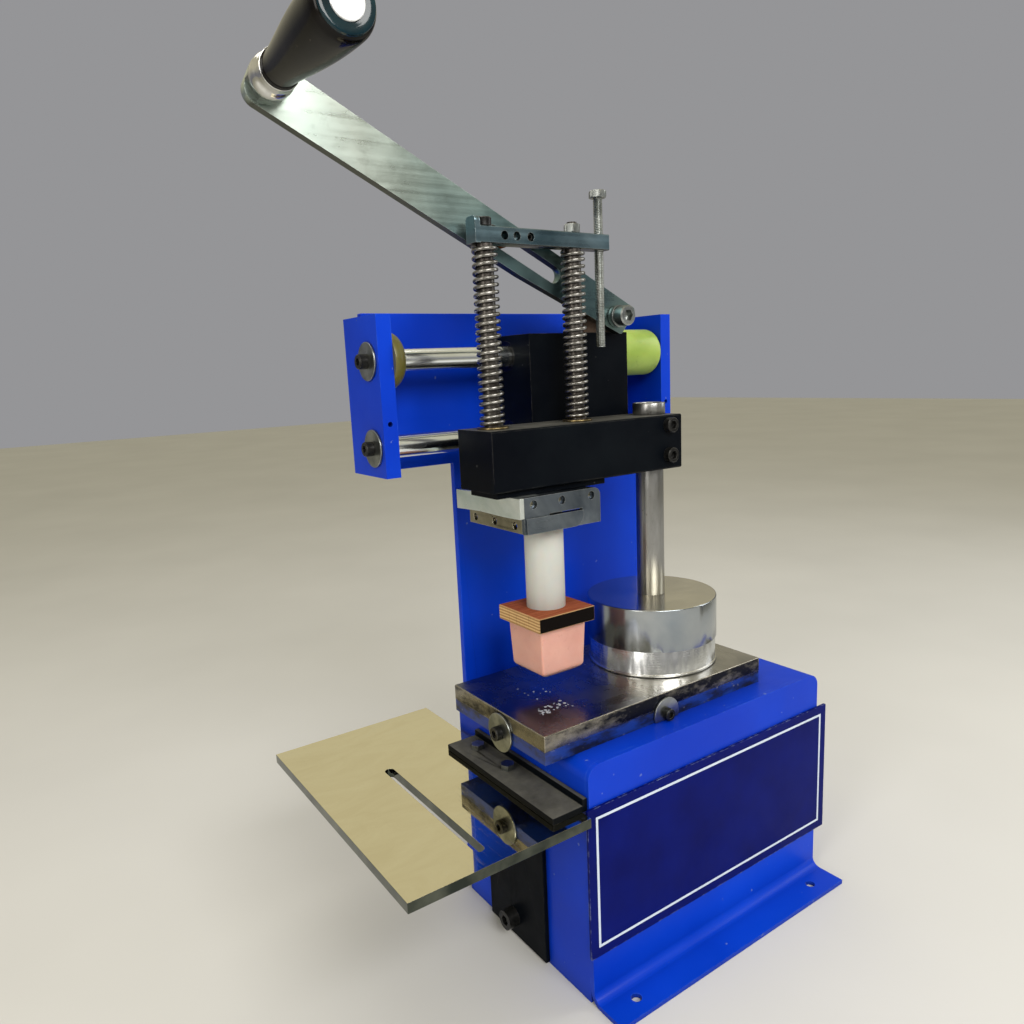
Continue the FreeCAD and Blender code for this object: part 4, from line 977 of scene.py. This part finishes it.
def make_grip():
    """Tapered moulded grip with a bead at its neck, and its two-part end cap."""
    low, high = box_of("handle_grip")
    centre = (low + high) / 2
    length = high.y - low.y
    full = (high.x - low.x) / 2
    profile = [(0.0, 0.60), (0.0, 0.63), (0.004, 0.655), (0.012, 0.665), (0.020, 0.655), (0.024, 0.63)]
    for step in range(1, 20):
        share = step / 20
        profile.append((0.024 + 0.90 * share, 0.62 + 0.38 * math.sin(math.pi / 2 * share) ** 1.25))
    profile += [(0.945, 0.995), (0.965, 0.975), (0.982, 0.94), (0.994, 0.90), (1.0, 0.86)]
    rows = [(along * length, share * full) for along, share in profile]
    piece = turned("grip_moulding", (centre.x, high.y, centre.z), (0, -1, 0), rows, segments=96)
    finish_piece(piece, GRIP, "grip_plastic", "grip", "handle_grip")
    cap_low, cap_high = box_of("grip_end_cap")
    outer = (cap_high.x - cap_low.x) / 2
    depth = cap_high.y - cap_low.y
    start = (centre.x, cap_high.y, centre.z)
    ring = turned("grip_cap_ring", start, (0, -1, 0),
                  [(0.0, outer), (0.35 * depth, outer), (0.62 * depth, 0.97 * outer),
                   (0.72 * depth, 0.90 * outer), (0.60 * depth, 0.72 * outer), (0.45 * depth, 0.61 * outer)],
                  segments=96)
    finish_piece(ring, cap_ring(), "cap_plastic", "grip", "grip_end_cap")
    disc = turned("grip_cap_disc", start, (0, -1, 0),
                  [(0.3 * depth, 0.60 * outer), (0.80 * depth, 0.60 * outer), (0.95 * depth, 0.58 * outer),
                   (1.0 * depth, 0.53 * outer)], segments=96)
    finish_piece(disc, cap_disc(), "cap_plastic", "grip")


def make_stop_screw():
    """Threaded stop screw with a hexagonal head."""
    low, high = box_of("stop_screw")
    centre = (low + high) / 2
    head_h = 4.4 * MM
    shank = thread("stop_thread", (centre.x, centre.y, low.z), (0, 0, 1), 3.0 * MM,
                   high.z - low.z - head_h, 1.0 * MM, 0.45 * MM)
    head = hex_head("stop_head", (centre.x, centre.y, high.z - head_h), (0, 0, 1), 10.0 * MM, head_h,
                    dish=0.35 * MM)
    finish_piece(joined("stop_screw_threaded", [shank, head]), HARDWARE, "zinc_steel", "stop", "stop_screw")


def make_rod_nut():
    low, high = box_of("rod_top_nut")
    centre = (low + high) / 2
    nut = hex_head("rod_nut", (centre.x, centre.y, low.z), (0, 0, 1), high.y - low.y, high.z - low.z,
                   dish=0.3 * MM)
    finish_piece(nut, HARDWARE, "zinc_steel", "head", "rod_top_nut")


def make_bumper():
    """Right bumper: cast cylinder with a well-rounded outer end."""
    low, high = box_of("bumper_right")
    centre = (low + high) / 2
    radius = (high.z - low.z) / 2
    length = high.x - low.x
    bend = 4.5 * MM
    profile = [(0.0, radius - 0.8 * MM), (0.3 * MM, radius - 0.2 * MM), (0.9 * MM, radius)]
    for step in range(9):
        angle = math.pi / 2 * step / 8
        profile.append((length - bend + bend * math.sin(angle), radius - bend + bend * math.cos(angle)))
    piece = turned("bumper_right_cast", (low.x, centre.y, centre.z), (1, 0, 0), profile, segments=96)
    finish_piece(piece, LIME, "lime_pu", "frame", "bumper_right")


def strip(x0, x1, z0, z1, front, depth):
    """Thin raised strip on the name plate."""
    vertices = [(x, y, z) for y in (front - depth, front + 0.02 * MM) for x, z in
                ((x0, z0), (x1, z0), (x1, z1), (x0, z1))]
    faces = [[0, 1, 2, 3], [7, 6, 5, 4], [0, 4, 5, 1], [1, 5, 6, 2], [2, 6, 7, 3], [3, 7, 4, 0]]
    return make_object("strip", vertices, faces)


def make_label_lines():
    """Plain border line on the name plate."""
    low, high = box_of("name_plate")
    front = low.y
    depth = 0.12 * MM
    inset, width = 6.0 * MM, 1.6 * MM
    x0, x1, z0, z1 = low.x + inset, high.x - inset, low.z + inset, high.z - inset
    strips = [strip(x0, x1, z0, z0 + width, front, depth), strip(x0, x1, z1 - width, z1, front, depth),
              strip(x0, x0 + width, z0 + width, z1 - width, front, depth),
              strip(x1 - width, x1, z0 + width, z1 - width, front, depth)]
    piece = joined("name_plate_border", strips)
    finish_piece(piece, label_line(), "navy_label", "frame")


def scatter(count, seed=5):
    """Repeatable pairs of numbers between 0 and 1, by a linear congruential generator."""
    modulus = 2 ** 31
    values = []
    for _ in range(2 * count):
        seed = (seed * 1103515245 + 12345) % modulus
        values.append(seed / modulus)
    return list(zip(values[::2], values[1::2]))


def make_etching():
    """Shallow etched dots on the printing plate, left of the cup: a loose patch and a dense one."""
    loose, depth, height = 14, 0.05 * MM, 0.10 * MM
    made = []
    for index, (u, v) in enumerate(scatter(46)):
        if index < loose:
            x, y = -0.094 + (u - 0.5) * 0.020, -0.012 + (v - 0.5) * 0.046
        else:
            x, y = -0.098 + (u - 0.5) * 0.022, -0.028 + (v - 0.5) * 0.009
        r = 0.0003 + 0.0008 * ((u * 7.3) % 1.0)
        made.append(turned("dot", (x, y, plate_top - depth), (0, 0, 1),
                           [(0.0, r), (0.9 * height, r), (height, r * 0.8)], segments=8))
    finish_piece(joined("etched_marks", made), etched_dots(), "cliche_steel", "frame")


# Stage -----------------------------------------------------------------------------

CAMERA_PLACE = (-0.37218, -0.39454, 0.38004)
CAMERA_TURN = (79.709, 2.526, -34.824)
CAMERA_LENS = 27.715
FLOOR_REACH = 6.0
FLOOR_DROP = 0.2 * MM
LIT_POINT = Vector((-0.02, 0.0, 0.24))


def area_light(name, place, size, power, colour):
    """Soft rectangular light aimed at the middle of the press."""
    light = bpy.data.lights.new(name, "AREA")
    light.shape = "RECTANGLE"
    light.size, light.size_y = size
    light.energy = power
    light.color = colour
    lamp = bpy.data.objects.new(name, light)
    lamp.location = place
    lamp.rotation_euler = (LIT_POINT - Vector(place)).to_track_quat("-Z", "Y").to_euler()
    bpy.context.scene.collection.objects.link(lamp)


def make_world():
    """Plain grey backdrop; what lights the press grows warm and bright overhead, like a lit ceiling."""
    world = bpy.data.worlds.new("studio")
    bpy.context.scene.world = world
    world.use_nodes = True
    tree = world.node_tree
    place = tree.nodes.new("ShaderNodeTexCoord")
    split = tree.nodes.new("ShaderNodeSeparateXYZ")
    rise = tree.nodes.new("ShaderNodeMapRange")
    rise.inputs["From Min"].default_value = 0.10
    rise.inputs["From Max"].default_value = 0.42
    room = tree.nodes.new("ShaderNodeMix")
    room.data_type = "RGBA"
    room.inputs[6].default_value = (0.20, 0.20, 0.215, 1.0)
    room.inputs[7].default_value = (0.56, 0.52, 0.38, 1.0)
    rays = tree.nodes.new("ShaderNodeLightPath")
    backdrop = tree.nodes.new("ShaderNodeMix")
    backdrop.data_type = "RGBA"
    backdrop.inputs[7].default_value = (0.30, 0.30, 0.31, 1.0)
    tree.links.new(place.outputs["Generated"], split.inputs[0])
    tree.links.new(split.outputs["Z"], rise.inputs["Value"])
    tree.links.new(rise.outputs[0], room.inputs[0])
    tree.links.new(rays.outputs["Is Camera Ray"], backdrop.inputs[0])
    tree.links.new(room.outputs[2], backdrop.inputs[6])
    tree.links.new(backdrop.outputs[2], tree.nodes["Background"].inputs["Color"])


def make_stage():
    """Pale floor, the room and four soft lights."""
    reach = FLOOR_REACH
    corners = [(-reach, -reach, 0), (reach, -reach, 0), (reach, reach, 0), (-reach, reach, 0)]
    floor = make_object("studio_floor", corners, [[0, 1, 2, 3]])
    floor.data.materials.append(floor_paper().material)
    floor.location.z = -FLOOR_DROP
    make_world()
    area_light("key_softbox", (-0.25, -1.25, 1.05), (0.9, 0.6), 18, (1.0, 0.98, 0.95))
    area_light("fill_left", (-1.4, -0.5, 0.8), (0.4, 1.0), 8, (1.0, 0.96, 0.90))
    area_light("fill_right", (1.2, -0.5, 0.9), (0.5, 1.0), 5, (0.95, 0.97, 1.0))
    area_light("top_soft", (-0.1, 0.3, 1.5), (1.0, 0.8), 5, (1.0, 0.97, 0.94))
    bpy.context.scene.view_settings.view_transform = "Standard"


def make_camera():
    camera = bpy.data.cameras.new("view")
    camera.sensor_width = 36.0
    camera.lens = CAMERA_LENS
    holder = bpy.data.objects.new("view", camera)
    holder.location = CAMERA_PLACE
    holder.rotation_euler = Euler([math.radians(turn) for turn in CAMERA_TURN], "XYZ")
    bpy.context.scene.collection.objects.link(holder)
    bpy.context.scene.camera = holder


dress_frame()
make_screws()
make_head_screws()
make_springs()
make_pad()
make_grip()
make_stop_screw()
make_rod_nut()
make_bumper()
make_label_lines()
make_etching()
make_stage()
make_camera()
